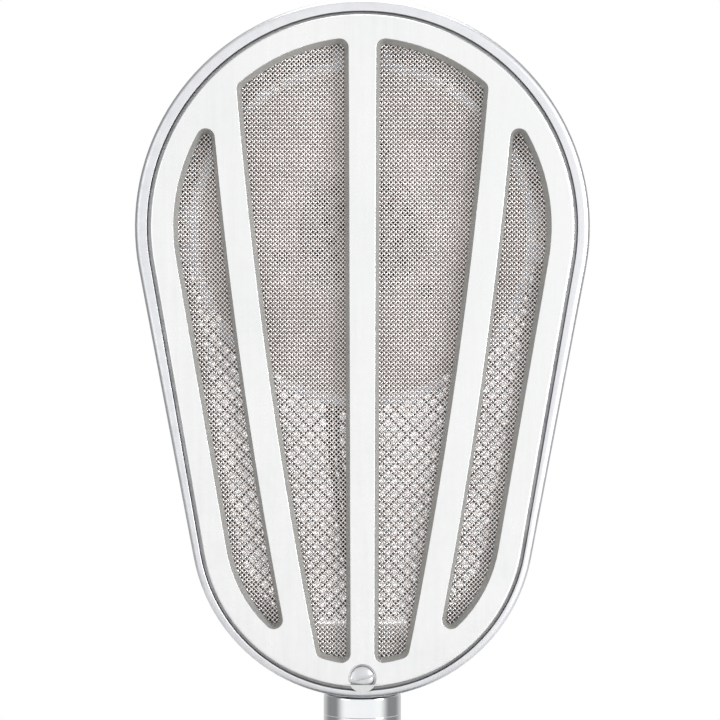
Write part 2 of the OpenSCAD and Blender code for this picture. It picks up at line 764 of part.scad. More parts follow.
module base_casting() {
    edge_round = 3;
    lip_r = base_in_r + 0.3;
    color([0.16, 0.16, 0.17]) difference() {
        union() {
            rotate_extrude() polygon(concat(
                [[stem_r + play, boss_z], [boss_r, boss_z], [boss_r, base_h - 6],
                 [base_in_r - 4, base_edge_h - 1], [base_in_r, base_edge_h - 1.8],
                 [base_in_r, plate_z], [lip_r, plate_z], [lip_r, foot_h], [base_r - 1, foot_h],
                 [base_r, foot_h + 1]],
                arc([base_r - edge_round, base_edge_h - edge_round], edge_round, 0, 75, 6),
                [[boss_r + 2, base_h - 0.6], [boss_r, base_h], [stem_r + play, base_h]]
            ));
            at_posts() cylinder(r = 4, h = base_edge_h - plate_z);
        }
        at_posts() cylinder(r = screw_r + play, h = 7);
        rod_y(0, gland_z, gland_r + play, base_in_r - 4, base_r + cut);
        rod_y(0, gland_z, gland_flange_r + 0.3, spot_y, base_r + cut);
    }
}

// Children stand on the base plate's top at each screw
module at_posts() {
    for (a = post_angles) rotate(a) translate([post_pcr, 0, plate_z]) children();
}

module base_weight() {
    notch = 22;
    color([0.28, 0.28, 0.29]) difference() {
        ring_z(weight_out_r, weight_in_r, plate_z + play, plate_z + play + weight_h);
        translate([-notch / 2, 0, plate_z]) cube([notch, base_r, weight_h + cut]);
    }
}

module base_plate() {
    color([0.30, 0.30, 0.31]) difference() {
        translate([0, 0, foot_h]) cylinder(r = base_in_r + 0.2, h = plate_sheet_t);
        at_posts() cylinder(r = screw_r + 0.2, h = 3 * plate_sheet_t, center = true);
        at_feet() cylinder(r = 2 + play, h = 3 * plate_sheet_t, center = true);
    }
}

module base_plate_screws() {
    color([0.75, 0.74, 0.70]) at_posts() {
        translate([0, 0, -plate_sheet_t - 1.1]) cylinder(r = 2.8, h = 1.1);
        translate([0, 0, -plate_sheet_t - 0.2]) cylinder(r = screw_r, h = 7);
    }
}

// Children stand on the base plate's underside at each foot
module at_feet() {
    for (a = post_angles) rotate(a + 45) translate([post_pcr - 2, 0, foot_h]) children();
}

module rubber_feet() {
    color([0.08, 0.08, 0.08]) at_feet() {
        translate([0, 0, -foot_h]) cylinder(r = 8, h = foot_h);
        translate([0, 0, -0.2]) cylinder(r = 2, h = plate_sheet_t + 0.2);
    }
}

module cable_gland() {
    gland_in_y = base_in_r - 3.4;
    color([0.88, 0.88, 0.86]) difference() {
        union() {
            rod_y(0, gland_z, gland_r, gland_in_y, spot_y + 0.2);
            rod_y(0, gland_z, gland_flange_r, spot_y, spot_y + 2);
        }
        rod_y(0, gland_z, gland_bore_r, gland_in_y - cut, spot_y + 2 + cut);
    }
}

module gland_nut() {
    nut_y = base_in_r - 2.6;
    color([0.80, 0.78, 0.70]) difference() {
        translate([0, nut_y, gland_z]) rotate([-90, 0, 0]) cylinder(r = gland_r + 1.1, h = 2.3, $fn = 6);
        rod_y(0, gland_z, gland_r + play, nut_y - cut, nut_y + 3);
    }
}

module terminal_block() {
    color([0.20, 0.12, 0.08]) translate([-9, stem_r + 1.5, plate_z + play]) difference() {
        cube([18, 8, 3.8]);
        for (x = [4, 9, 14]) translate([x, 5, 1]) cylinder(r = 1 + play, h = 4);
    }
}

module terminal_screws() {
    color([0.82, 0.66, 0.35]) translate([-9, stem_r + 6.5, plate_z + play + 3.8]) for (x = [4, 9, 14]) {
        translate([x, 0, 0]) cylinder(r = 1.8, h = 0.9);
        translate([x, 0, -2.6]) cylinder(r = 1, h = 2.8);
    }
}

rear_shell();
rear_mesh();
rear_fine_mesh();
front_cover();
front_mesh();
mesh_retainer();
retainer_screws();
cover_screw();
mounting_ring();
ring_washers();
ring_screws();
capsule_baffle();
baffle_screws();
perforated_cap();
dust_silk();
diaphragm();
voice_coil();
diaphragm_clamp();
top_plate();
pole_piece();
magnet();
magnet_yoke();
capsule_housing();
damping_felt();
terminal_strip();
terminal_lugs();
capsule_leads();
pivot_bolt();
pivot_washers();
friction_washers();
pivot_nut();
swivel_knuckle();
stem_tube();
stem_collar();
stem_washer();
stem_locknut();
stem_leads();
base_casting();
base_weight();
base_plate();
base_plate_screws();
rubber_feet();
cable_gland();
gland_nut();
terminal_block();
terminal_screws();
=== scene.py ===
# Desktop microphone: egg-shaped slotted head, woven screens, round capsule, chrome stem, crackle enamel base.
# Piece sizes are in millimetres and turn into metres when a piece is finished.
import json
import math
import bpy
import bmesh
import numpy as np
from mathutils import Matrix, Vector

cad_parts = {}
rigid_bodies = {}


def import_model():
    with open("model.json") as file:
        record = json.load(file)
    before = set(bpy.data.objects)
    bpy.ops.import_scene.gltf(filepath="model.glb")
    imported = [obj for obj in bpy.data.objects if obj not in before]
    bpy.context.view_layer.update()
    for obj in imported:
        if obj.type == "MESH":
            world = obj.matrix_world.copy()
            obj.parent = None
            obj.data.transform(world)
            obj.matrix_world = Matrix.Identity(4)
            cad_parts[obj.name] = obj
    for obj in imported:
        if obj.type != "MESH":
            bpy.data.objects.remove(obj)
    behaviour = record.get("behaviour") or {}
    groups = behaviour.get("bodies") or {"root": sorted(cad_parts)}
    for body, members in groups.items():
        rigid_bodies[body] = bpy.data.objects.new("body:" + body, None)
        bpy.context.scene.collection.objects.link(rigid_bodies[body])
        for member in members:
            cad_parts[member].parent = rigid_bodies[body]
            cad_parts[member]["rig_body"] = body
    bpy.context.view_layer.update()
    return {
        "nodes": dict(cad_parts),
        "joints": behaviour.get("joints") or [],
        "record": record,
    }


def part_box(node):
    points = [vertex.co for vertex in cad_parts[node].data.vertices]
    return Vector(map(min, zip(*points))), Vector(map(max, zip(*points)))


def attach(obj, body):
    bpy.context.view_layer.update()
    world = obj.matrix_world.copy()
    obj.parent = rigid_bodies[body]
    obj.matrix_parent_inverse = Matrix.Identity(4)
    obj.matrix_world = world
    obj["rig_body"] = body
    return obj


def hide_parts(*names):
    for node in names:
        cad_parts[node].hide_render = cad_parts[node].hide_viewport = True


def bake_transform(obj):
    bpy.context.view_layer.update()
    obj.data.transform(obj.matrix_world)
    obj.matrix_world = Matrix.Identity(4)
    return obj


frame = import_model()
mm = 0.001
print("frame loaded with", len(frame["nodes"]), "nodes")


def boxMm(node):
    low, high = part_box(node)
    return [c / mm for c in low], [c / mm for c in high]


def middleOf(node, axis):
    low, high = boxMm(node)
    return (low[axis] + high[axis]) / 2


def addObject(name, data):
    thing = bpy.data.objects.new(name, data)
    bpy.context.scene.collection.objects.link(thing)
    return thing


# camera, straight on from the front, a little above the head's middle
cameraView = {"aimX": -0.6, "aimZ": 199.6, "distance": 700, "frameWidth": 180, "sensor": 36}
headLow, headHigh = boxMm("rear_shell")
rimY, shellBackY = headLow[1], headHigh[1]
lens = bpy.data.cameras.new("studioCamera")
lens.sensor_width = cameraView["sensor"]
lens.lens = cameraView["distance"] * cameraView["sensor"] / cameraView["frameWidth"]
lens.clip_start, lens.clip_end = 0.05, 20
camera = addObject("studioCamera", lens)
camera.location = (cameraView["aimX"] * mm, (rimY - cameraView["distance"]) * mm, cameraView["aimZ"] * mm)
camera.rotation_euler = (math.radians(90), 0, 0)
bpy.context.scene.camera = camera
bpy.context.scene.view_settings.view_transform = "Standard"


# shader helpers

def addNode(tree, kind, **values):
    node = tree.nodes.new(kind)
    for key, value in values.items():
        setattr(node, key, value)
    return node


def feed(tree, socket, value):
    # a number or a colour is set on the socket, and an output is linked to it
    if isinstance(value, (int, float)):
        socket.default_value = value
    elif isinstance(value, (tuple, list)):
        socket.default_value = (*value[:3], 1)
    else:
        tree.links.new(value, socket)


def mathNode(tree, operation, *values, clamp=False):
    node = addNode(tree, "ShaderNodeMath", operation=operation, use_clamp=clamp)
    for socket, value in zip(node.inputs, values):
        feed(tree, socket, value)
    return node.outputs[0]


def mixColour(tree, factor, first, second, blend="MIX"):
    node = addNode(tree, "ShaderNodeMix", data_type="RGBA", blend_type=blend)
    for number, value in ((0, factor), (6, first), (7, second)):
        feed(tree, node.inputs[number], value)
    return node.outputs[2]


def noise(tree, place, scale, detail):
    node = addNode(tree, "ShaderNodeTexNoise")
    for label, value in (("Vector", place), ("Scale", scale), ("Detail", detail)):
        feed(tree, node.inputs[label], value)
    return node.outputs["Fac"]


def remap(tree, value, fromMin=0, fromMax=1, toMin=0, toMax=1, easing="LINEAR"):
    node = addNode(tree, "ShaderNodeMapRange", interpolation_type=easing)
    levels = {"Value": value, "From Min": fromMin, "From Max": fromMax, "To Min": toMin, "To Max": toMax}
    for label, level in levels.items():
        feed(tree, node.inputs[label], level)
    return node.outputs[0]


def newGroup(name, inputs, outputs):
    # every group takes a place, then named numbers or vectors, and puts out masks
    group = bpy.data.node_groups.new(name, "ShaderNodeTree")
    group.interface.new_socket("Place", in_out="INPUT", socket_type="NodeSocketVector")
    for label, value in inputs.items():
        kind = "NodeSocketVector" if isinstance(value, tuple) else "NodeSocketFloat"
        group.interface.new_socket(label, in_out="INPUT", socket_type=kind).default_value = value
    for label in outputs:
        group.interface.new_socket(label, in_out="OUTPUT", socket_type="NodeSocketFloat")
    return group, group.nodes.new("NodeGroupInput").outputs, group.nodes.new("NodeGroupOutput").inputs


def buildToneDrift():
    # broad uneven tone plus finer mottling
    group, given, result = newGroup("toneDrift", {"Scale": 40.0, "Mottle": 0.4}, ["Tone"])
    broad = noise(group, given["Place"], given["Scale"], 3)
    fine = noise(group, given["Place"], mathNode(group, "MULTIPLY", given["Scale"], 9), 4)
    mottled = mathNode(group, "MULTIPLY", mathNode(group, "SUBTRACT", fine, 0.5), given["Mottle"])
    feed(group, result["Tone"], mathNode(group, "ADD", broad, mottled, clamp=True))
    return group


def buildBrushedGrain():
    # noise drawn out along one direction, for brushing, rolling and drawing marks
    inputs = {"Stretch": (1, 1, 1), "Scale": 600.0}
    group, given, result = newGroup("brushedGrain", inputs, ["Height", "Streak"])
    scaled = addNode(group, "ShaderNodeVectorMath", operation="MULTIPLY")
    feed(group, scaled.inputs[0], given["Place"])
    feed(group, scaled.inputs[1], given["Stretch"])
    feed(group, result["Height"], noise(group, scaled.outputs[0], given["Scale"], 2))
    wide = mathNode(group, "MULTIPLY", given["Scale"], 0.22)
    feed(group, result["Streak"], noise(group, scaled.outputs[0], wide, 3))
    return group


def buildWornEdgesAndShade():
    # outer edges, broken up by noise, for wear, and the inner corners as painted shade
    group, given, result = newGroup("wornEdgesAndShade", {"Reach": 0.5, "Scale": 300.0}, ["Mask", "CornerShade"])
    bend = addNode(group, "ShaderNodeNewGeometry").outputs["Pointiness"]
    broken = mathNode(group, "MULTIPLY", remap(group, bend, 0.51, 0.6),
                      noise(group, given["Place"], given["Scale"], 4))
    feed(group, result["Mask"], mathNode(group, "MULTIPLY", broken, given["Reach"], clamp=True))
    # painted shade: concave corners, where shade would fall
    hollowShade = remap(group, bend, 0.49, 0.42)
    feed(group, result["CornerShade"], mathNode(group, "MULTIPLY", hollowShade, given["Reach"], clamp=True))
    return group


def buildDustFilm():
    # a thin film that settles on what faces up
    group, given, result = newGroup("dustFilm", {"Amount": 0.2, "Scale": 120.0}, ["Mask"])
    parts = addNode(group, "ShaderNodeSeparateXYZ")
    feed(group, parts.inputs[0], addNode(group, "ShaderNodeNewGeometry").outputs["Normal"])
    up = mathNode(group, "MULTIPLY", parts.outputs["Z"], 0.8, clamp=True)
    patchy = mathNode(group, "MULTIPLY", up, noise(group, given["Place"], given["Scale"], 5))
    feed(group, result["Mask"], mathNode(group, "MULTIPLY", patchy, given["Amount"], clamp=True))
    return group


toneDrift, brushedGrain = buildToneDrift(), buildBrushedGrain()
wornEdgesAndShade, dustFilm = buildWornEdgesAndShade(), buildDustFilm()

# grain is its scale and bump, worn and reach are the edges' colour and share; reach also sets how much painted
# shade darkens the inner corners
fineGrain = (900, 0.04)
finishes = {
    "shell_metal": {
        "colour": (0.80, 0.81, 0.83), "second": (0.66, 0.67, 0.70), "rough": (0.30, 0.46), "metal": 1,
        "grain": (1500, 0.10), "worn": (0.93, 0.94, 0.95), "reach": 0.7, "dust": 0.06},
    "cover_metal": {
        "colour": (0.90, 0.90, 0.90), "second": (0.80, 0.81, 0.81), "rough": (0.24, 0.40), "metal": 1,
        "stretch": (1, 1, 0.05), "grain": (2600, 0.07),
        "worn": (0.97, 0.97, 0.97), "reach": 0.3, "dust": 0.03},
    # partly the as-cast walls' own grey, partly painted shade: the slots' walls and the rim's recess are
    # darkened so they look shaded
    "cast_wall": {
        "colour": (0.42, 0.42, 0.40), "second": (0.35, 0.35, 0.335), "rough": (0.50, 0.65), "metal": 0.35,
        "grain": (2200, 0.12), "worn": (0.70, 0.70, 0.69), "reach": 0.3, "dust": 0.03},
    "coarse_wire": {
        "colour": (0.95, 0.96, 0.98), "second": (0.86, 0.87, 0.91), "rough": (0.14, 0.28), "metal": 1,
        "grain": fineGrain, "worn": (0.95, 0.95, 0.98), "reach": 0, "dust": 0.03},
    "fine_wire": {
        "colour": (0.87, 0.83, 0.815), "second": (0.70, 0.66, 0.645), "rough": (0.14, 0.26), "metal": 1,
        "grain": fineGrain, "worn": (0.95, 0.94, 0.93), "reach": 0, "dust": 0.02},
    "plated_steel": {
        "colour": (0.70, 0.71, 0.72), "second": (0.56, 0.57, 0.60), "rough": (0.26, 0.42), "metal": 1,
        "grain": fineGrain, "worn": (0.88, 0.88, 0.88), "reach": 0.5, "dust": 0.04},
    "ring_metal": {
        "colour": (0.80, 0.86, 0.93), "second": (0.68, 0.74, 0.84), "rough": (0.24, 0.40), "metal": 0.75,
        "grain": fineGrain, "worn": (0.92, 0.95, 0.98), "reach": 0.5, "dust": 0.05},
    "nickel": {
        "colour": (0.84, 0.81, 0.72), "second": (0.70, 0.66, 0.55), "rough": (0.18, 0.36), "metal": 1,
        "grain": fineGrain, "worn": (0.93, 0.90, 0.80), "reach": 0.6, "dust": 0.04},
    "blued_steel": {
        "colour": (0.14, 0.13, 0.14), "second": (0.24, 0.22, 0.24), "rough": (0.28, 0.44), "metal": 0.9,
        "grain": fineGrain, "worn": (0.55, 0.53, 0.52), "reach": 0.7, "dust": 0.04},
    "baffle_plastic": {
        "colour": (0.72, 0.655, 0.62), "second": (0.62, 0.54, 0.515), "rough": (0.38, 0.55), "metal": 0,
        "grain": (1800, 0.05), "worn": (0.93, 0.89, 0.86), "reach": 0.5, "dust": 0.10},
    "cap_metal": {
        "colour": (0.26, 0.22, 0.21), "second": (0.17, 0.14, 0.14), "rough": (0.34, 0.52), "metal": 0.5,
        "grain": (2600, 0.12), "worn": (0.74, 0.69, 0.66), "reach": 1, "dust": 0.06},
    "silk": {
        "colour": (0.015, 0.014, 0.016), "second": (0.03, 0.028, 0.03), "rough": (0.7, 0.9), "metal": 0,
        "grain": (5000, 0.2), "worn": (0.08, 0.08, 0.08), "reach": 0.2, "dust": 0.05,
        "extra": {"Sheen Weight": 0.4}},
    "diaphragm_film": {
        "colour": (0.80, 0.74, 0.56), "second": (0.70, 0.62, 0.44), "rough": (0.2, 0.3), "metal": 0,
        "grain": fineGrain, "worn": (0.9, 0.86, 0.7), "reach": 0.3, "dust": 0.03},
    "copper": {
        "colour": (0.62, 0.25, 0.09), "second": (0.45, 0.16, 0.06), "rough": (0.25, 0.4), "metal": 0.9,
        "stretch": (0.2, 1, 0.2), "grain": (4000, 0.3), "worn": (0.8, 0.42, 0.2), "reach": 0.4, "dust": 0.03},
    "soft_iron": {
        "colour": (0.48, 0.48, 0.49), "second": (0.36, 0.36, 0.38), "rough": (0.3, 0.45), "metal": 1,
        "grain": fineGrain, "worn": (0.7, 0.7, 0.7), "reach": 0.5, "dust": 0.04},
    "magnet_iron": {
        "colour": (0.16, 0.16, 0.18), "second": (0.10, 0.10, 0.11), "rough": (0.45, 0.6), "metal": 0.7,
        "grain": fineGrain, "worn": (0.35, 0.35, 0.36), "reach": 0.5, "dust": 0.04},
    "housing_plastic": {
        "colour": (0.018, 0.018, 0.02), "second": (0.035, 0.034, 0.034), "rough": (0.32, 0.5), "metal": 0,
        "grain": fineGrain, "worn": (0.12, 0.12, 0.12), "reach": 0.4, "dust": 0.12},
    "felt": {
        "colour": (0.22, 0.05, 0.04), "second": (0.32, 0.09, 0.07), "rough": (0.85, 0.98), "metal": 0,
        "grain": (3000, 0.6), "worn": (0.4, 0.15, 0.12), "reach": 0.2, "dust": 0.1,
        "extra": {"Sheen Weight": 0.4}},
    "phenolic": {
        "colour": (0.17, 0.07, 0.03), "second": (0.10, 0.04, 0.02), "rough": (0.24, 0.4), "metal": 0,
        "stretch": (0.1, 1, 1), "grain": (2500, 0.1), "worn": (0.3, 0.16, 0.08), "reach": 0.4, "dust": 0.06},
    "brass_lug": {
        "colour": (0.72, 0.56, 0.27), "second": (0.60, 0.48, 0.30), "rough": (0.22, 0.4), "metal": 1,
        "grain": fineGrain, "worn": (0.85, 0.72, 0.42), "reach": 0.5, "dust": 0.04},
    "lead_rubber": {
        "colour": (0.012, 0.012, 0.022), "second": (0.028, 0.027, 0.036), "rough": (0.34, 0.52), "metal": 0,
        "grain": (2500, 0.12), "worn": (0.08, 0.08, 0.09), "reach": 0.3, "dust": 0.10},
    "fibre": {
        "colour": (0.22, 0.09, 0.05), "second": (0.15, 0.06, 0.03), "rough": (0.5, 0.7), "metal": 0,
        "grain": fineGrain, "worn": (0.35, 0.18, 0.1), "reach": 0.3, "dust": 0.05},
    "chrome": {
        "colour": (0.92, 0.93, 0.94), "second": (0.85, 0.87, 0.89), "rough": (0.04, 0.10), "metal": 1,
        "stretch": (1, 1, 0.1), "grain": (700, 0.008),
        "worn": (0.96, 0.96, 0.96), "reach": 0.3, "dust": 0.04},
    "base_enamel": {
        "colour": (0.012, 0.012, 0.013), "second": (0.018, 0.017, 0.017), "rough": (0.20, 0.36), "metal": 0,
        "grain": (700, 0.05), "worn": (0.12, 0.12, 0.12), "reach": 0.4, "dust": 0.03, "crackle": 620,
        "extra": {"Coat Weight": 0.15, "Coat Roughness": 0.15}},
    "weight_iron": {
        "colour": (0.10, 0.10, 0.105), "second": (0.15, 0.11, 0.09), "rough": (0.6, 0.85), "metal": 0.5,
        "grain": (900, 0.5), "worn": (0.25, 0.25, 0.25), "reach": 0.4, "dust": 0.1},
    "plate_steel": {
        "colour": (0.02, 0.02, 0.022), "second": (0.035, 0.034, 0.034), "rough": (0.4, 0.55), "metal": 0,
        "grain": fineGrain, "worn": (0.3, 0.3, 0.3), "reach": 0.5, "dust": 0.05},
    "foot_rubber": {
        "colour": (0.013, 0.013, 0.013), "second": (0.03, 0.03, 0.03), "rough": (0.6, 0.8), "metal": 0,
        "grain": (1500, 0.3), "worn": (0.09, 0.09, 0.09), "reach": 0.4, "dust": 0.1},
}
wearAndShade = {"driftScale": 45.0, "mottle": 0.45, "driftShare": 0.6, "streakShare": 0.5, "toneRange": (0.35, 0.75),
        "wornScale": 420.0, "cornerShade": 0.45,
        "dustScale": 160.0, "dust": (0.62, 0.60, 0.57),
        "bumpDepth": 0.00006, "crackleDepth": 0.0004, "valleyShade": 0.3}


def placeGroup(tree, group, place, **values):
    node = addNode(tree, "ShaderNodeGroup", node_tree=group)
    feed(tree, node.inputs["Place"], place)
    for key, value in values.items():
        node.inputs[key].default_value = value
    return node.outputs


def makeFinish(name, f):
    material = bpy.data.materials.new(name)
    material.use_nodes = True
    tree = material.node_tree
    shader = tree.nodes["Principled BSDF"]
    place = addNode(tree, "ShaderNodeTexCoord").outputs["Object"]
    grainScale, bumpShare = f["grain"]
    drift = placeGroup(tree, toneDrift, place, Scale=wearAndShade["driftScale"], Mottle=wearAndShade["mottle"])
    grain = placeGroup(tree, brushedGrain, place, Stretch=f.get("stretch", (1, 1, 1)), Scale=grainScale)
    worn = placeGroup(tree, wornEdgesAndShade, place, Reach=f["reach"], Scale=wearAndShade["wornScale"])
    dust = placeGroup(tree, dustFilm, place, Amount=f["dust"], Scale=wearAndShade["dustScale"])
    broad = mathNode(tree, "MULTIPLY", drift["Tone"], wearAndShade["driftShare"])
    tone = mathNode(tree, "MULTIPLY_ADD", grain["Streak"], wearAndShade["streakShare"], broad)
    spread = remap(tree, tone, *wearAndShade["toneRange"])
    colour = mixColour(tree, spread, f["colour"], f["second"])
    # painted shade: inner corners darkened towards the second colour
    colour = mixColour(tree, worn["CornerShade"], colour, [c * wearAndShade["cornerShade"] for c in f["second"]])
    colour = mixColour(tree, worn["Mask"], colour, f["worn"])
    colour = mixColour(tree, dust["Mask"], colour, wearAndShade["dust"])
    rough = remap(tree, spread, 0, 1, *f["rough"])
    dusty = mathNode(tree, "MULTIPLY", dust["Mask"], 0.5)
    feed(tree, shader.inputs["Roughness"], mathNode(tree, "ADD", rough, dusty, clamp=True))
    height, depth = grain["Height"], wearAndShade["bumpDepth"]
    if "crackle" in f:
        # the enamel shrinks into small rounded islands with fine valleys between them, and the valleys are
        # darkened as painted shade
        cells = addNode(tree, "ShaderNodeTexVoronoi", feature="DISTANCE_TO_EDGE")
        feed(tree, cells.inputs["Vector"], place)
        feed(tree, cells.inputs["Scale"], f["crackle"])
        island = remap(tree, cells.outputs["Distance"], 0, 0.28, easing="SMOOTHSTEP")
        height = mathNode(tree, "MULTIPLY_ADD", grain["Height"], 0.2, island)
        # painted shade: the valleys take a darker copy of the enamel's colour
        colour = mixColour(tree, island, [c * wearAndShade["valleyShade"] for c in f["colour"]], colour)
        depth = wearAndShade["crackleDepth"]
    feed(tree, shader.inputs["Base Color"], colour)
    bump = addNode(tree, "ShaderNodeBump")
    for label, value in (("Strength", min(1, bumpShare * 4)), ("Distance", depth), ("Height", height)):
        feed(tree, bump.inputs[label], value)
    feed(tree, shader.inputs["Normal"], bump.outputs[0])
    shader.inputs["Metallic"].default_value = f["metal"]
    for label, value in f.get("extra", {}).items():
        shader.inputs[label].default_value = value
    return material


materials = {name: makeFinish(name, f) for name, f in finishes.items()}
nodeSlots = {subpart["node"]: subpart["material_slot"] for subpart in frame["record"]["subparts"]}
print("finishes made:", len(materials))


# mesh helpers, all in millimetres

def toObject(bm, name):
    bmesh.ops.remove_doubles(bm, verts=bm.verts, dist=0.0004)
    bmesh.ops.dissolve_degenerate(bm, edges=bm.edges, dist=0.0002)
    bmesh.ops.recalc_face_normals(bm, faces=bm.faces)
    mesh = bpy.data.meshes.new(name)
    bm.to_mesh(mesh)
    bm.free()
    return addObject(name, mesh)


def carve(piece, cutter, operation="DIFFERENCE"):
    # a boolean whose result becomes the piece's own mesh
    tool = toObject(cutter, piece.name + "Tool")
    step = piece.modifiers.new("carve", "BOOLEAN")
    step.operation, step.object, step.solver = operation, tool, "EXACT"
    bpy.context.view_layer.update()
    shaped = bpy.data.meshes.new_from_object(piece.evaluated_get(bpy.context.evaluated_depsgraph_get()))
    piece.modifiers.clear()
    old = piece.data
    piece.data = shaped
    shaped.name = piece.name
    bpy.data.meshes.remove(old)
    bpy.data.objects.remove(tool)


def smoothMm(piece):
    # millimetres to metres, with smooth faces
    piece.data.transform(Matrix.Scale(mm, 4))
    for face in piece.data.polygons:
        face.use_smooth = True


def tie(piece, node):
    # the node's finish, its body, and its place in the frame
    slotName = nodeSlots[node]
    piece.data.materials.clear()
    piece.data.materials.append(materials[slotName])
    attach(piece, frame["nodes"][node]["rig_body"])
    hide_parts(node)


def dressPiece(piece, node, sharp=35):
    smoothMm(piece)
    piece.data.set_sharp_from_angle(angle=math.radians(sharp))
    even = piece.modifiers.new("evenShading", "WEIGHTED_NORMAL")
    even.keep_sharp, even.weight = True, 90
    tie(piece, node)


def addRing(bm, points):
    return [bm.verts.new(p) for p in points]


def bridge(bm, rings, closed=False):
    for a, b in zip(rings, rings[1:] + (rings[:1] if closed else [])):
        for k in range(len(a)):
            n = (k + 1) % len(a)
            bm.faces.new((a[k], a[n], b[n], b[k]))


def closeEnds(bm, rings):
    bm.faces.new(rings[0])
    bm.faces.new(rings[-1][::-1])


def fillBetween(bm, loops):
    edges = []
    for loop in loops:
        for a, b in zip(loop, loop[1:] + loop[:1]):
            edges.append(bm.edges.get((a, b)) or bm.edges.new((a, b)))
    bmesh.ops.triangle_fill(bm, use_beauty=True, use_dissolve=False, edges=edges, normal=(0, 1, 0))


def onCircle(radius, degrees, x=0, z=0):
    a = math.radians(degrees)
    return x + radius * math.cos(a), z + radius * math.sin(a)


def circlePoints(x, z, radius, y, count=40):
    angles = [2 * math.pi * k / count for k in range(count)]
    return [(x + radius * math.cos(a), y, z + radius * math.sin(a)) for a in angles]


def easedEdge(edge, y, way=1):
    # (inset, y) steps of a small broken edge, from the flat face round to the side
    return [(edge, y), (edge * 0.3, y + way * edge * 0.3), (0, y + way * edge)]


def quarter(steps):
    # sine and cosine in equal steps over a quarter turn
    angles = [math.radians(90 * k / steps) for k in range(steps + 1)]
    return [(math.sin(a), math.cos(a)) for a in angles]


def softProfile(points, steps):
    # rounds each corner given as (radius, along, rounding)
    outline = []
    for k, point in enumerate(points):
        here = Vector(point[:2])
        if len(point) < 3:
            outline.append(here)
            continue
        before = (Vector(points[k - 1][:2]) - here).normalized() * point[2] + here
        after = (Vector(points[(k + 1) % len(points)][:2]) - here).normalized() * point[2] + here
        for s in range(steps + 1):
            t = s / steps
            outline.append(before * (1 - t) ** 2 + here * 2 * t * (1 - t) + after * t ** 2)
    return outline


def turn(bm, profile, centre=(0, 0, 0), axis="y", count=96, steps=4):
    # revolves a profile with softened corners about an axis through the centre
    rings = []
    for radius, along in softProfile(profile, steps):
        ring = []
        for k in range(count):
            angle = 2 * math.pi * k / count
            c, s = radius * math.cos(angle), radius * math.sin(angle)
            spot = {"x": (along, c, s), "y": (c, along, s), "z": (c, s, along)}[axis]
            ring.append(Vector(spot) + Vector(centre))
        rings.append(addRing(bm, ring))
    bridge(bm, rings, closed=profile[0][0] + profile[-1][0] > 0)


def turnedPiece(name, node, profile, centre=(0, 0, 0), axis="z", count=128, steps=5, sharp=35):
    bm = bmesh.new()
    turn(bm, profile, centre, axis, count, steps)
    dressPiece(toObject(bm, name), node, sharp)


def rod(bm, centre, radius, low, high, axis="y", count=48):
    turn(bm, [(0, low), (radius, low), (radius, high), (0, high)], centre, axis, count)


def block(bm, low, high, turnBy=Matrix.Identity(4)):
    corners = [(x, y, z) for x in (low[0], high[0]) for y in (low[1], high[1]) for z in (low[2], high[2])]
    v = addRing(bm, [turnBy @ Vector(c) for c in corners])
    for face in ((0, 1, 3, 2), (4, 6, 7, 5), (0, 4, 5, 1), (2, 3, 7, 6), (0, 2, 6, 4), (1, 5, 7, 3)):
        bm.faces.new([v[i] for i in face])


def facing(x, z, angle):
    # a place on the front, turned in its plane
    return Matrix.Translation((x, 0, z)) @ Matrix.Rotation(-math.radians(angle), 4, "Y")


def cutSlots(screws, spots, angles, reach, low, high, width):
    tool = bmesh.new()
    for (x, z), angle in zip(spots, angles):
        block(tool, (-reach, low, -width / 2), (reach, high, width / 2), facing(x, z, angle))
    carve(screws, tool)


# the head's outline: two round ends and the straight sides that touch both

headShape = {"bottomRadius": 43, "topSteps": 72, "sideSteps": 14, "bottomSteps": 48}
bottomRadius, topRadius = headShape["bottomRadius"], headHigh[0]
topZ = headHigh[2] - topRadius
bottomZ = headLow[2] + bottomRadius
pitch = topZ - bottomZ


def eggPoints(rTop, rBottom):
    lean = math.asin((rTop - rBottom) / pitch)
    ends = []
    for centre, radius, first, last, steps in (
            (topZ, rTop, -lean, math.pi + lean, headShape["topSteps"]),
            (bottomZ, rBottom, math.pi + lean, 2 * math.pi - lean, headShape["bottomSteps"])):
        a = np.linspace(first, last, steps + 1)
        ends.append(np.stack([radius * np.cos(a), centre + radius * np.sin(a)], 1))
    t = np.linspace(0, 1, headShape["sideSteps"] + 1)[1:-1, None]
    left = ends[0][-1] * (1 - t) + ends[1][0] * t
    right = ends[1][-1] * (1 - t) + ends[0][0] * t
    return np.vstack([ends[0], left, ends[1], right])


def eggRing(bm, rTop, rBottom, y):
    return addRing(bm, [(x, y, z) for x, z in eggPoints(rTop, rBottom)])


def halfWidth(z, rTop, rBottom):
    # half the outline's width at height z, and 0 outside it
    s = (rTop - rBottom) / pitch
    c = math.sqrt(1 - s * s)
    high, low = topZ - rTop * s, bottomZ - rBottom * s
    side = rBottom * c + (z - low) / (high - low) * (rTop - rBottom) * c
    upper = np.sqrt(np.clip(rTop ** 2 - (z - topZ) ** 2, 0, None))
    lower = np.sqrt(np.clip(rBottom ** 2 - (z - bottomZ) ** 2, 0, None))
    return np.where(z >= high, upper, np.where(z <= low, lower, side))


def isInside(x, z, rTop, rBottom):
    return abs(x) < float(halfWidth(np.array(z), rTop, rBottom))


# the four slots, which the cover and the rear wall share

slotShape = {
    "boundaryTop": 47, "boundaryBottom": 34.2,  # radii of the slots' outer boundary
    "centreTop": 7.4, "centreBottom": 6.4, "sideBar": 7, "bow": 2, "corner": 2,
    "barTop": (0.611 * topRadius, topZ + 36), "barFoot": (0.355 * bottomRadius, bottomZ - 30),
    "arcEnd": 1.2, "arcFine": 500, "sideFine": 1500, "barFine": 60,
}


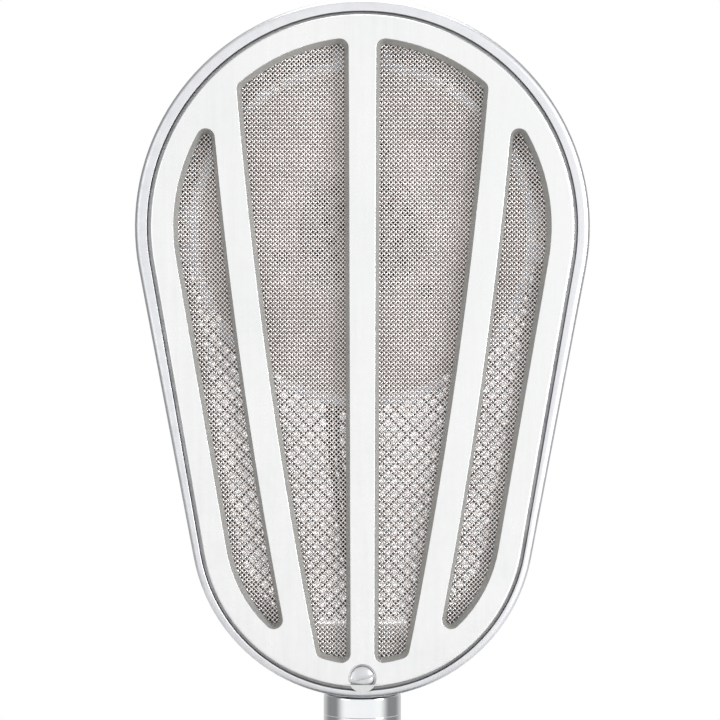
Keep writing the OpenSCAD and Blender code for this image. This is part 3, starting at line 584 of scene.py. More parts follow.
def barEdge(shift):
    # x of the right side bar's line, moved sideways, as heights and values for interpolation
    top, foot = Vector(slotShape["barTop"]), Vector(slotShape["barFoot"])
    chord = foot - top
    out = Vector((-chord.y, chord.x)).normalized()
    points = []
    for t in [1.3 * k / slotShape["barFine"] - 0.15 for k in range(slotShape["barFine"], -1, -1)]:
        bow = 4 * slotShape["bow"] * t * (1 - t)
        points.append(chord * t + top + out * bow + out * shift)
    return np.array([p.y for p in points]), np.array([p.x for p in points])


def centreEdge(z, shift):
    share = (topZ + topRadius - z) / (topRadius + pitch + bottomRadius)
    spread = slotShape["centreBottom"] - slotShape["centreTop"]
    return slotShape["centreTop"] / 2 + spread / 2 * share + shift


def resample(points, count):
    lengths = np.concatenate([[0], np.cumsum(np.linalg.norm(np.diff(points, axis=0), axis=1))])
    at = np.linspace(0, lengths[-1], count)
    return np.stack([np.interp(at, lengths, points[:, 0]), np.interp(at, lengths, points[:, 1])], 1)


def slotCores():
    # clockwise edges of the two right-hand slots, drawn in by the corner radius
    s = slotShape
    inset, fine = s["corner"], s["barFine"]
    rTop, rBottom = s["boundaryTop"] - inset, s["boundaryBottom"] - inset
    sideTop, sideFoot = topZ + rTop * math.cos(s["arcEnd"]), bottomZ - rBottom * math.cos(s["arcEnd"])
    z = np.concatenate([topZ + rTop * np.cos(np.linspace(0, s["arcEnd"], s["arcFine"])),
                        np.linspace(sideTop, sideFoot, s["sideFine"])[1:-1],
                        bottomZ - rBottom * np.cos(np.linspace(s["arcEnd"], 0, s["arcFine"]))])
    wall = np.stack([halfWidth(z, rTop, rBottom), z], 1)
    innerZ, innerX = barEdge(-s["sideBar"] / 2 - inset)
    outerZ, outerX = barEdge(s["sideBar"] / 2 + inset)
    between = (wall[:, 0] > centreEdge(z, inset)) & (wall[:, 0] < np.interp(z, innerZ, innerX))
    half = len(z) // 2
    top, foot = wall[:half][between[:half]], wall[half:][between[half:]]
    down = np.linspace(top[-1, 1], foot[0, 1], fine)
    up = np.linspace(foot[-1, 1], top[0, 1], 12)
    inner = [resample(top, 18), resample(np.stack([np.interp(down, innerZ, innerX), down], 1), 28),
             resample(foot, 14), np.stack([centreEdge(up, inset), up], 1)]
    side = wall[wall[:, 0] > np.interp(z, outerZ, outerX)]
    back = np.linspace(side[-1, 1], side[0, 1], fine)
    outer = [resample(side, 48), resample(np.stack([np.interp(back, outerZ, outerX), back], 1), 28)]
    for edges in (inner, outer):
        for k in range(len(edges)):
            edges[k][-1] = edges[(k + 1) % len(edges)][0]
    return [inner, outer]


cores = slotCores()


def slotPoints(core, grow, mirrored):
    # the core's edges moved out by grow, joined by arcs at the corners
    normals = []
    for edge in core:
        along = np.gradient(edge, axis=0)
        along /= np.linalg.norm(along, axis=1)[:, None]
        normals.append(np.stack([-along[:, 1], along[:, 0]], 1))
    points = []
    for k, edge in enumerate(core):
        points.extend(edge + normals[k] * grow)
        following = normals[(k + 1) % len(core)][0]
        a0 = math.atan2(normals[k][-1][1], normals[k][-1][0])
        a1 = math.atan2(following[1], following[0])
        sweep = (a1 - a0 + math.pi) % (2 * math.pi) - math.pi
        if sweep > 0:
            sweep -= 2 * math.pi
        for a in [a0 + sweep * s / 8 for s in range(1, 8)]:
            points.append(edge[-1] + grow * np.array([math.cos(a), math.sin(a)]))
    points = np.array(points)
    return points[::-1] * [-1, 1] if mirrored else points


def slotRings(bm, levels):
    # walls of all four slots through (grow, y) levels; returns the first and last loops
    first, last = [], []
    for core in cores:
        for mirrored in (False, True):
            rings = []
            for grow, y in levels:
                rings.append(addRing(bm, [(x, y, z) for x, z in slotPoints(core, grow, mirrored)]))
            bridge(bm, rings)
            first.append(rings[0])
            last.append(rings[-1])
    return first, last


# rear shell casting

pivotZ = frame["joints"][0]["pos_m"][2] / mm
capsuleZ, screwZ = middleOf("perforated_cap", 2), middleOf("cover_screw", 2)
coverLow, coverHigh = boxMm("front_cover")
seatY = boxMm("front_mesh")[0][1]
shellShape = {
    "wall": 5.5, "bottomWall": 4.6, "rearWall": 3, "rimTop": 3.1, "rimBottom": 1.9,
    "rimRound": 1.5, "rearRound": 8, "edge": 0.25, "slotEdge": 0.2, "weld": 0.5, "past": 5,
    "castTop": 2, "castBottom": 1.2,  # the rough finish starts this far in from the outline
    "platformZ": 129, "platformY": -16.5, "platformEdge": 0.8, "footWeld": 0.6,
    "postRadius": 4, "postFrontY": -12.5, "postEdge": 0.4, "earWall": 4.9,
    "bossRadius": 4.2, "bossBackY": -15.5, "bossEdge": 0.3, "webHalf": 3, "webLength": 7.7, "webDrop": 0.6,
    "holeRadius": 1.8, "wireHole": 3, "wireHoleY": 9,
    "pocketX": 11, "pocketFrontY": -14.5, "pocketBackY": 19, "pocketRoofZ": 127.2,
    "cheekX": 5.5, "cheekRadius": 4, "sinkX": 13.5, "sinkRadius": 4, "boltHole": 2.05,
    "notchHalf": 4.3, "notchFront": 0.05, "notchDepth": 2.65, "notchFoot": 1, "notchTop": 1.5,
}
earAngles = [0, 90, 180]
earRadius = topRadius - shellShape["wall"] - shellShape["earWall"]


def capsuleSpot(angle, radius=earRadius):
    return onCircle(radius, angle, 0, capsuleZ)


def castWallsAndShade(piece, castAndShaded):
    # a second, darker finish for the walls that aren't brushed, partly their as-cast finish and partly painted
    # shade in the slots and the rim's gap; the test function takes a face's place
    piece.data.materials.append(materials["cast_wall"])
    for face in piece.data.polygons:
        if abs(face.normal.y) < 0.6 and castAndShaded(*(face.center / mm)):
            face.material_index = 1


def crossRods(bm, nearX, farX, radius):
    # a rod on each side, along the tilt axis
    for side in (-1, 1):
        near, far = sorted((side * nearX, side * farX))
        rod(bm, (0, 0, pivotZ), radius, near, far, "x")


def shellBody(innerY):
    s = shellShape
    cavity = (topRadius - s["wall"], bottomRadius - s["bottomWall"])
    recess = (topRadius - s["rimTop"], bottomRadius - s["rimBottom"])
    levels = [(*cavity, innerY), (*cavity, seatY + s["edge"]),
              (cavity[0] + s["edge"], cavity[1] + s["edge"], seatY), (*recess, seatY)]
    levels += [(recess[0] + out, recess[1] + out, y) for out, y in easedEdge(s["edge"], rimY)[::-1]]
    front, rear = s["rimRound"], s["rearRound"]
    sides = [(front * (1 - sine), rimY + front * (1 - cosine)) for sine, cosine in quarter(5)]
    sides += [(0, y) for y in np.linspace(rimY + front, shellBackY - rear, 6)[1:-1]]
    sides += [(rear * (1 - cosine), shellBackY - rear * (1 - sine)) for sine, cosine in quarter(8)]
    levels += [(topRadius - inset, bottomRadius - inset, y) for inset, y in sides]
    bm = bmesh.new()
    rings = [eggRing(bm, *level) for level in levels]
    bridge(bm, rings)
    grow = slotShape["corner"]
    steps = [(grow + out, y) for out, y in easedEdge(s["slotEdge"], shellBackY, -1)]
    outer, inner = slotRings(bm, steps + [(grow, innerY)])
    fillBetween(bm, [rings[-1]] + outer)
    fillBetween(bm, [rings[0]] + inner)
    return toObject(bm, "rearShell")


def shellFoot(innerY):
    # solid foot of the casting, wall to wall, with a sloped front edge on the platform
    s = shellShape
    rTop, rBottom = topRadius - s["wall"] + s["footWeld"], bottomRadius - s["bottomWall"] + s["footWeld"]
    edgeZ, backY = s["platformZ"] - s["platformEdge"], innerY + s["weld"]
    width = halfWidth(np.array(edgeZ), rTop, rBottom)
    lower = [tuple(p) for p in eggPoints(rTop, rBottom) if p[1] < edgeZ]
    outline = [(-width, edgeZ)] + lower + [(width, edgeZ)]
    bm = bmesh.new()
    front, back = [addRing(bm, [(x, y, z) for x, z in outline]) for y in (s["platformY"], backY)]
    topFront, topBack = [addRing(bm, [(x, y, s["platformZ"]) for x in (width, -width)])
                         for y in (s["platformY"] + s["platformEdge"], backY)]
    for k in range(len(front) - 1):
        bm.faces.new((front[k], front[k + 1], back[k + 1], back[k]))
    bm.faces.new((front[-1], topFront[0], topBack[0], back[-1]))
    bm.faces.new((topFront[0], topFront[1], topBack[1], topBack[0]))
    bm.faces.new((topFront[1], front[0], back[0], topBack[1]))
    bm.faces.new(front[::-1])
    bm.faces.new((front[0], topFront[1], topFront[0], front[-1]))
    bm.faces.new(back + topBack)
    return bm


def shellPosts(innerY):
    # a post behind each ear of the ring, and the boss for the cover's screw
    s = shellShape
    bm = bmesh.new()
    for x, z in map(capsuleSpot, earAngles):
        turn(bm, [(0, s["postFrontY"]), (s["postRadius"], s["postFrontY"], s["postEdge"]),
                  (s["postRadius"], innerY + s["weld"]), (0, innerY + s["weld"])], (x, 0, z), count=48)
    turn(bm, [(0, seatY), (s["bossRadius"], seatY, s["bossEdge"]), (s["bossRadius"], s["bossBackY"]),
              (0, s["bossBackY"])], (0, 0, screwZ), count=48)
    return bm


def shellWebs(innerY):
    s = shellShape
    bm = bmesh.new()
    for angle in earAngles:
        block(bm, (0, s["postFrontY"] + s["webDrop"], -s["webHalf"]),
              (s["webLength"], innerY + s["weld"], s["webHalf"]), facing(*capsuleSpot(angle), angle))
    return bm


def tiltPocket():
    # the room for the tilt joint, less its two cheeks
    s = shellShape
    bm = bmesh.new()
    block(bm, (-s["pocketX"], s["pocketFrontY"], headLow[2] - s["past"]),
          (s["pocketX"], s["pocketBackY"], s["pocketRoofZ"]))
    room = toObject(bm, "pocketRoom")
    cheeks = bmesh.new()
    crossRods(cheeks, s["cheekX"], s["pocketX"] + 1, s["cheekRadius"])
    carve(room, cheeks)
    bm = bmesh.new()
    bm.from_mesh(room.data)
    bpy.data.objects.remove(room)
    return bm


def shellHoles():
    s = shellShape
    ceiling = topZ + topRadius - s["wall"]
    bm = bmesh.new()
    crossRods(bm, s["sinkX"], bottomRadius + s["past"], s["sinkRadius"])
    rod(bm, (0, s["wireHoleY"], 0), s["wireHole"], s["pocketRoofZ"] - 1, s["platformZ"] + 1, "z")
    rod(bm, (0, 0, screwZ), s["holeRadius"], seatY - 1, s["platformY"] - 0.6)
    block(bm, (-s["notchHalf"], seatY - s["notchFront"], ceiling - s["notchFoot"]),
          (s["notchHalf"], seatY + s["notchDepth"], ceiling + s["notchTop"]))
    return bm


def buildShell():
    s = shellShape
    innerY = shellBackY - s["rearWall"]
    shell = shellBody(innerY)
    for added in (shellFoot, shellPosts, shellWebs):
        carve(shell, added(innerY), "UNION")
    carve(shell, tiltPocket())
    carve(shell, shellHoles())
    bolt = bmesh.new()
    rod(bolt, (0, 0, pivotZ), s["boltHole"], -s["sinkX"] - 1, s["sinkX"] + 1, "x")
    carve(shell, bolt)
    dressPiece(shell, "rear_shell", sharp=32)
    # the recess walls between rim and seat get the darker finish, partly as-cast and partly painted shade in
    # the gap round the cover
    castWallsAndShade(shell, lambda x, y, z: rimY + s["edge"] < y < seatY
              and isInside(x, z, topRadius - s["castTop"], bottomRadius - s["castBottom"]))


buildShell()
print("rear shell cast")


# front cover

coverShape = {
    "gap": 0.8, "edge": 0.7, "backEdge": 0.3, "frontSlope": 0.25, "backSlope": 0.8, "slotEdge": 0.2,
    "counterbore": 3.3, "boreEdge": 0.25, "boreDepth": 1.8, "shank": 1.5,
    "castInset": 2, "tabHalf": 4, "tabThick": 0.8, "tabWeld": 0.4, "tabLift": 0.4,
}


def buildCover():
    s = coverShape
    frontY, backY = coverLow[1], seatY
    rTop, rBottom = coverHigh[0], bottomRadius - shellShape["rimBottom"] - s["gap"]
    sides = [(s["backEdge"], backY), (0, backY - s["backEdge"])]
    sides += [(s["edge"] * (1 - cosine), frontY + s["edge"] * (1 - sine)) for sine, cosine in quarter(5)]
    bm = bmesh.new()
    rings = [eggRing(bm, rTop - inset, rBottom - inset, y) for inset, y in sides]
    bridge(bm, rings)
    wide, narrow = slotShape["corner"] + s["frontSlope"], slotShape["corner"] - s["backSlope"]
    steps = [(wide + out, y) for out, y in easedEdge(s["slotEdge"], frontY)]
    front, back = slotRings(bm, steps + [(narrow, backY - 0.1), (narrow, backY)])
    floorY = frontY + s["boreDepth"]
    steps = [(s["counterbore"] + s["boreEdge"], frontY), (s["counterbore"], frontY + s["boreEdge"]),
             (s["counterbore"], floorY), (s["shank"], floorY), (s["shank"], backY)]
    bore = [addRing(bm, circlePoints(0, screwZ, radius, y)) for radius, y in steps]
    bridge(bm, bore)
    fillBetween(bm, [rings[-1], bore[0]] + front)
    fillBetween(bm, [rings[0], bore[-1]] + back)
    cover = toObject(bm, "frontCover")
    tab = bmesh.new()
    tabZ = topZ + topRadius - shellShape["wall"] + s["tabLift"]
    block(tab, (-s["tabHalf"], backY - s["tabWeld"], tabZ),
          (s["tabHalf"], coverHigh[1], tabZ + s["tabThick"]))
    carve(cover, tab, "UNION")
    dressPiece(cover, "front_cover", sharp=32)

    def castAndShaded(x, y, z):
        # the rim's side and the slots' walls, but not the screw's bore
        if not isInside(x, z, rTop - s["castInset"], rBottom - s["castInset"]):
            return y > frontY + s["edge"]
        return y > frontY + s["slotEdge"] * 0.9 and math.hypot(x, z - screwZ) > 2 * s["counterbore"]
    # the rim's side and the slots' walls get the darker finish, partly as-cast and partly painted shade
    castWallsAndShade(cover, castAndShaded)


buildCover()
print("front cover cut")


# woven screens: round wires that pass over and under each other

def weaveSet(name, weave, reach, inside, place, setIndex):
    # one of the two sets of parallel wires; place turns (a, b, height) into x, y, z
    step, wire, sides, perHalf = weave["pitch"], weave["wire"], weave["sides"], weave["perHalf"]
    low, high = np.array(reach[0]), np.array(reach[1])
    c, s = math.cos(math.radians(45)), math.sin(math.radians(45))
    along, across = np.array([c, s]), np.array([-s, c])
    if setIndex:
        along, across = across, along
    half = int(np.linalg.norm(high - low) / 2 / step) + 2
    k, j = np.arange(-half, half + 1), np.arange(-half * perHalf, half * perHalf + 1)
    kk, jj = np.meshgrid(k, j, indexing="ij")
    phase = np.pi * jj / perHalf + np.pi * kk
    sign = -1 if setIndex else 1
    height = sign * wire * np.cos(phase)
    slope = np.arctan(-sign * wire * np.pi / step * np.sin(phase))
    flat = (low + high) / 2 + (jj * step / perHalf)[..., None] * along + (kk * step)[..., None] * across
    kept = inside(flat[..., 0], flat[..., 1])
    number = np.cumsum(kept).reshape(kept.shape) - 1
    flatKept, heightKept, slopeKept = flat[kept], height[kept], slope[kept]
    angles = 2 * np.pi * (np.arange(sides) + 0.5) / sides
    sideways = wire * np.cos(angles)[None, :, None] * across[None, None, :]
    upward = wire * np.sin(angles)[None, :] * np.cos(slopeKept)[:, None]
    backward = -wire * np.sin(angles)[None, :, None] * np.sin(slopeKept)[:, None, None] * along[None, None, :]
    plane = flatKept[:, None, :] + sideways + backward
    points = place(plane[..., 0].ravel(), plane[..., 1].ravel(), (heightKept[:, None] + upward).ravel())
    joined = kept[:, :-1] & kept[:, 1:]
    a, b = number[:, :-1][joined], number[:, 1:][joined]
    q = np.arange(sides)
    n = (q + 1) % sides
    quads = [np.stack([a[:, None] * sides + q, a[:, None] * sides + n,
                       b[:, None] * sides + n, b[:, None] * sides + q], 2).reshape(-1, 4)]
    started, ended = kept.copy(), kept.copy()
    started[:, 1:] &= ~kept[:, :-1]
    ended[:, :-1] &= ~kept[:, 1:]
    for ends, order in ((number[started], 1), (number[ended], -1)):
        for first in range(1, sides - 1, 2):
            corners = [0, first, first + 1, min(first + 2, sides - 1)][::order]
            quads.append(ends[:, None] * sides + np.array(corners))
    quads = np.vstack(quads)
    mesh = bpy.data.meshes.new(name)
    mesh.vertices.add(len(points))
    mesh.vertices.foreach_set("co", (points * mm).astype(np.float32).ravel())
    mesh.loops.add(quads.size)
    mesh.loops.foreach_set("vertex_index", quads.ravel().astype(np.int32))
    mesh.polygons.add(len(quads))
    mesh.polygons.foreach_set("loop_start", (np.arange(len(quads)) * 4).astype(np.int32))
    mesh.polygons.foreach_set("use_smooth", np.ones(len(quads), bool))
    mesh.update(calc_edges=True)
    flow = mesh.uv_layers.new(name="OFBake")
    spots = 0.01 + 0.98 * np.clip((plane.reshape(-1, 2) - low) / (high - low), 0, 1)
    flow.uv.foreach_set("vector", spots[quads.ravel()].astype(np.float32).ravel())
    return addObject(name, mesh)


def weaveScreen(name, node, weave, reach, inside, place):
    for setIndex in (0, 1):
        tie(weaveSet(name + "AB"[setIndex], weave, reach, inside, place, setIndex), node)


def flatScreen(y):
    return lambda a, b, height: np.stack([a, y - height, b], 1)


# pitch and wire radius, with the sides of a wire and its steps in half a wave
weaves = {
    "front": {"pitch": 0.84, "wire": 0.23, "sides": 4, "perHalf": 2},
    "tray": {"pitch": 2.45, "wire": 0.46, "sides": 6, "perHalf": 3},
    "rear": {"pitch": 1.25, "wire": 0.15, "sides": 4, "perHalf": 2},
}
screenShape = {"gap": 0.6, "edge": 0.35, "bossRoom": 4.8, "trayEdge": 0.4, "footGap": 0.3, "frontGap": 0.5,
               "rearEar": (4.8, 4.8), "trayEar": (4.6, 8.5)}  # the ears' clearance inwards and sideways
clearTop = topRadius - shellShape["wall"] - screenShape["gap"]
clearBottom = bottomRadius - shellShape["bottomWall"] - screenShape["gap"]
trayLow, trayHigh = boxMm("rear_mesh")
reachAll = ((-clearTop - 1, bottomZ - clearBottom - 1), (clearTop + 1, topZ + clearTop + 1))


def insideEgg(a, b, inset):
    rTop, rBottom = clearTop - inset, clearBottom - inset
    return (np.abs(a) < halfWidth(b, rTop, rBottom)) & (b < topZ + rTop) & (b > bottomZ - rBottom)


def clearOfEars(a, b, room):
    inwards, sideways = room
    clear = np.ones(a.shape, bool)
    for angle in earAngles:
        c, s = math.cos(math.radians(angle)), math.sin(math.radians(angle))
        out, off = a * c + (b - capsuleZ) * s, -a * s + (b - capsuleZ) * c
        clear &= ~((out > earRadius - inwards) & (np.abs(off) < sideways))
    return clear


def buildFrontScreen():
    # in two halves, and clear of the boss at the cover's screw
    room = screenShape["bossRoom"]
    for half, side, start in (("Left", -1, 1e-6), ("Right", 1, 0)):
        def inside(a, b, side=side, start=start):
            boss = (np.abs(a) < room) & (b < screwZ + room)
            return insideEgg(a, b, screenShape["edge"]) & ~boss & (a * side >= start)
        weaveScreen("frontScreen" + half, "front_mesh", weaves["front"], reachAll, inside,
                    flatScreen(middleOf("front_mesh", 1)))


def buildRearScreen():
    footZ = boxMm("rear_fine_mesh")[0][2] + screenShape["footGap"]

    def inside(a, b):
        return insideEgg(a, b, screenShape["edge"]) & (b > footZ) & clearOfEars(a, b, screenShape["rearEar"])
    weaveScreen("rearScreen", "rear_fine_mesh", weaves["rear"], reachAll, inside,
                flatScreen(middleOf("rear_fine_mesh", 1)))


def buildTray():
    weave, room = weaves["tray"], screenShape["trayEar"]
    wallInset = 2 * weave["wire"]
    floorY, footZ = trayHigh[1] - wallInset, trayLow[2] + screenShape["footGap"]

    def onFloor(a, b):
        return insideEgg(a, b, wallInset + screenShape["trayEdge"]) & (b > footZ) & clearOfEars(a, b, room)
    weaveScreen("trayFloor", "rear_mesh", weave, reachAll, onFloor, flatScreen(floorY))
    # the wall follows the outline; a is the way round it and b the depth
    loop = eggPoints(clearTop - wallInset, clearBottom - wallInset)
    loop = np.vstack([loop, loop[:1]])
    way = np.concatenate([[0], np.cumsum(np.linalg.norm(np.diff(loop, axis=0), axis=1))])
    along = np.gradient(loop, axis=0)
    along /= np.linalg.norm(along, axis=1)[:, None]

    def spot(a, values):
        return np.interp(a, way, values[:, 0]), np.interp(a, way, values[:, 1])

    def onWall(a, b):
        x, z = spot(a, loop)
        onLoop = (a > 0) & (a < way[-1]) & (b > trayLow[1] + screenShape["frontGap"]) & (b < floorY + 0.2)
        return onLoop & (z > footZ) & clearOfEars(x, z, room)

    def placeWall(a, b, height):
        (x, z), (alongX, alongZ) = spot(a, loop), spot(a, along)
        return np.stack([x + alongZ * height, b, z - alongX * height], 1)
    weaveScreen("trayWall", "rear_mesh", weave, ((0, trayLow[1]), (way[-1], floorY)), onWall, placeWall)


buildFrontScreen()
buildRearScreen()
buildTray()
print("screens woven")


# pieces of the capsule

ringShape = {"notches": (30, 60, 120, 150, 210, 240, 300, 330), "notchHalf": 1.5, "notchCentre": 43.1,
             "outer": 44.2, "inner": 24.05, "earHalf": 7.5, "earEnd": 50.6, "edge": 0.3}
washerShape = {"bore": 1.7, "radius": 3.3, "frontEdge": 0.15, "backEdge": 0.1}
washerLow, washerHigh = boxMm("ring_washers")


def ringRadius(angle):
    # outer radius of the mounting ring at an angle, with its ears and notches
    s = ringShape
    radius = s["outer"]
    for ear in earAngles:
        off = abs((angle - ear + 180) % 360 - 180)
        if off < 40:
            radius = max(radius, min(s["earEnd"], s["earHalf"] / max(1e-6, math.sin(math.radians(off)))))
    for notch in s["notches"]:
        off = math.radians((angle - notch + 180) % 360 - 180)
        gone = s["notchHalf"] ** 2 - (s["notchCentre"] * math.sin(off)) ** 2
        if abs(off) < 0.2 and gone > 0:
            radius = s["notchCentre"] * math.cos(off) - math.sqrt(gone)
    return radius


def ringAngles():
    # every degree, and closer where an ear or a notch starts
    s = ringShape
    angles = list(np.arange(0, 360, 1.0))
    for ear in earAngles:
        for limit in (s["earEnd"], s["outer"]):
            off = math.degrees(math.asin(s["earHalf"] / limit))
            angles += [(ear + side * off) % 360 for side in (-1, 1)]
    reach = math.degrees(math.asin(s["notchHalf"] / s["notchCentre"]))
    for notch in s["notches"]:
        for share in (1.002, 0.998, 0.9, 0.7, 0.4):
            angles += [(notch + side * reach * share) % 360 for side in (-1, 1)]
    return sorted(set(round(a, 4) for a in angles))


def buildRing():
    front, back = boxMm("mounting_ring")[0][1], boxMm("mounting_ring")[1][1]
    edge, angles = ringShape["edge"], ringAngles()
    bm = bmesh.new()
    steps = [(lambda a, inset=inset: ringRadius(a) - inset, y)
             for inset, y in easedEdge(edge, front) + [(0, back - edge), (edge, back)]]
    steps += [(lambda a: ringShape["inner"], y) for y in (back, front)]
    rings = []
    for radiusAt, y in steps:
        spots = [capsuleSpot(a, radiusAt(a)) for a in angles]
        rings.append(addRing(bm, [(x, y, z) for x, z in spots]))
    bridge(bm, rings, closed=True)
    dressPiece(toObject(bm, "mountingRing"), "mounting_ring", sharp=40)


def buildWashers():
    s = washerShape
    bm = bmesh.new()
    for x, z in map(capsuleSpot, earAngles):
        turn(bm, [(s["bore"], washerLow[1]), (s["radius"], washerLow[1], s["frontEdge"]),
                  (s["radius"], washerHigh[1], s["backEdge"]), (s["bore"], washerHigh[1])],
             (x, 0, z), count=48)
    dressPiece(toObject(bm, "ringWashers"), "ring_washers")


baffleShape = {"lipRadius": 17.5, "lipInner": 15.75, "flatRadius": 27, "rimRadius": 41.5, "rimThick": 1.2,
               "seatRadius": 14.5, "screwCircle": 21.5, "screwAngles": (77, 197, 317),
               "recess": 1.9, "recessDepth": 1.3, "recessEdge": 0.2, "shankHole": 1.05}
baffleSpots = [capsuleSpot(a, baffleShape["screwCircle"]) for a in baffleShape["screwAngles"]]


def buildBaffle():
    s = baffleShape
    low, high = boxMm("capsule_baffle")
    lipY, back = low[1], high[1]
    faceY, silkBack = boxMm("perforated_cap")[0][1], boxMm("dust_silk")[1][1]
    seat = silkBack + 0.05
    bm = bmesh.new()
    turn(bm, [(s["lipInner"], lipY, 0.35), (s["lipRadius"], lipY, 0.5), (s["lipRadius"], faceY, 0.3),
              (s["flatRadius"], faceY, 1.2), (s["rimRadius"], back - s["rimThick"], 0.4),
              (s["rimRadius"], back, 0.2), (s["seatRadius"], back), (s["seatRadius"], seat),
              (s["lipInner"], seat)], (0, 0, capsuleZ), count=160, steps=5)
    baffle = toObject(bm, "capsuleBaffle")
    recesses, shanks = bmesh.new(), bmesh.new()
    edge, floorY = s["recessEdge"], faceY + s["recessDepth"]
    for x, z in baffleSpots:
        turn(recesses, [(0, faceY - 1), (s["recess"] + edge, faceY - 1), (s["recess"] + edge, faceY),
                        (s["recess"], faceY + edge), (s["recess"], floorY), (0, floorY)], (x, 0, z), count=40)
        rod(shanks, (x, 0, z), s["shankHole"], faceY, back + 1, count=24)
    carve(baffle, recesses)
    carve(baffle, shanks)
    dressPiece(baffle, "capsule_baffle", sharp=32)


capShape = {"holeRadius": 1.3, "holePitch": 4.7, "rows": 3, "reach": 2.9, "turned": -16.6,
            "rim": 0.22, "edge": 0.35}


def capHoles():
    # centres of the close-packed holes, turned a little
    s = capShape
    c, t = math.cos(math.radians(s["turned"])), math.sin(math.radians(s["turned"]))
    spots = []
    for i in range(-s["rows"], s["rows"] + 1):
        for j in range(-s["rows"], s["rows"] + 1):
            px, pz = s["holePitch"] * (i + j / 2), s["holePitch"] * j * math.sin(math.radians(60))
            if math.hypot(px, pz) <= s["reach"] * s["holePitch"]:
                spots.append((px * c - pz * t, capsuleZ + px * t + pz * c))
    return spots


def buildCap():
    s = capShape
    low, high = boxMm("perforated_cap")
    radius, front, back = high[0], low[1], high[1]
    bm = bmesh.new()
    rings = [addRing(bm, circlePoints(0, capsuleZ, radius - inset, y, 120))
             for inset, y in easedEdge(s["edge"], front) + [(0, back)]]
    bridge(bm, rings)
    fronts, backs = [], []
    for x, z in capHoles():
        hole = [addRing(bm, circlePoints(x, z, s["holeRadius"] + grow, y, 24))
                for grow, y in ((s["rim"], front), (0, front + s["rim"]), (0, back))]
        bridge(bm, hole)
        fronts.append(hole[0])
        backs.append(hole[-1])
    fillBetween(bm, [rings[0]] + fronts)
    fillBetween(bm, [rings[-1]] + backs)
    dressPiece(toObject(bm, "perforatedCap"), "perforated_cap", sharp=30)


# thick is the head's height, and dome the part of it that is rounded
screwShapes = {
    "ring_screws": {"head": 2.8, "thick": washerLow[1] - boxMm("ring_screws")[0][1], "dome": 1.1,
                    "shank": 1.45, "slotWidth": 0.73, "slotDepth": 0.8, "angles": (30, 75, 30)},
    "baffle_screws": {"head": 1.65, "thick": 1.05, "dome": 0.5, "shank": 1.0,
                      "slotWidth": 0.43, "slotDepth": 0.5, "angles": (20, 64, 118)},
    "cover_screw": {"head": 3.0, "thick": 1.35, "dome": 0.55, "shank": 1.45,
                    "slotWidth": 0.78, "slotDepth": 0.7, "angles": (12,)},
}


def slottedScrews(name, node, spots):
    s = screwShapes[node]
    front, back = boxMm(node)[0][1], boxMm(node)[1][1]
    seat = front + s["thick"]
    bm = bmesh.new()
    for x, z in spots:
        turn(bm, [(0, front), (s["head"] * 0.55, front), (s["head"], front + s["dome"], s["dome"] * 0.5),
                  (s["head"], seat, 0.12), (s["shank"], seat), (s["shank"], back - 0.4),
                  (s["shank"] - 0.4, back), (0, back)], (x, 0, z), count=48, steps=5)
    screws = toObject(bm, name)
    cutSlots(screws, spots, s["angles"], s["head"] + 1, front - 1, front + s["slotDepth"], s["slotWidth"])
    dressPiece(screws, node, sharp=38)


buildRing()
buildBaffle()
buildCap()
buildWashers()
slottedScrews("ringScrews", "ring_screws", [capsuleSpot(a) for a in earAngles])
slottedScrews("baffleScrews", "baffle_screws", baffleSpots)
slottedScrews("coverScrew", "cover_screw", [(0, screwZ)])
print("capsule front made")

retainerShape = {"width": 3, "edge": 0.2,
                 "screwInset": 1.5, "topAngles": (12, 90, 168), "footAngles": (-35, 215),
                 "shank": 0.8, "head": 1.4, "headEdge": 0.1, "dome": 0.45,
                 "slotReach": 2, "slotDepth": 0.35, "slotWidth": 0.36, "slotAngles": (15, 80, 40, 120, 60)}


def buildRetainer():
    # flat frame that holds the fine screen to the cover, open round the screw's boss
    s, room = retainerShape, screenShape["bossRoom"]
    low, high = boxMm("mesh_retainer")
    screwLow, screwHigh = boxMm("retainer_screws")
    front, back = low[1], high[1]
    steps = ((0, front), (0, back - s["edge"]), (s["edge"], back),
             (s["width"] - s["edge"], back), (s["width"], back - s["edge"]), (s["width"], front))
    bm = bmesh.new()
    bridge(bm, [eggRing(bm, clearTop - inset, clearBottom - inset, y) for inset, y in steps], closed=True)
    retainer = toObject(bm, "screenRetainer")
    tool = bmesh.new()
    block(tool, (-room, front - 1, screwZ - 3 * room), (room, back + 1, screwZ + room))
    carve(retainer, tool)
    dressPiece(retainer, "mesh_retainer")
    spots = [onCircle(clearTop - s["screwInset"], a, 0, topZ) for a in s["topAngles"]]
    spots += [onCircle(clearBottom - s["screwInset"], a, 0, bottomZ) for a in s["footAngles"]]
    bm = bmesh.new()
    for x, z in spots:
        turn(bm, [(0, screwLow[1]), (s["shank"], screwLow[1]), (s["shank"], back),
                  (s["head"], back, s["headEdge"]), (s["head"], screwHigh[1], s["dome"]), (0, screwHigh[1])],
             (x, 0, z), count=32)
    screws = toObject(bm, "retainerScrews")
    cutSlots(screws, spots, s["slotAngles"], s["slotReach"], screwHigh[1] - s["slotDepth"], screwHigh[1] + 1,
             s["slotWidth"])
    dressPiece(screws, "retainer_screws")


buildRetainer()


# leads, which bend between the head and the stem; the points are listed one by one

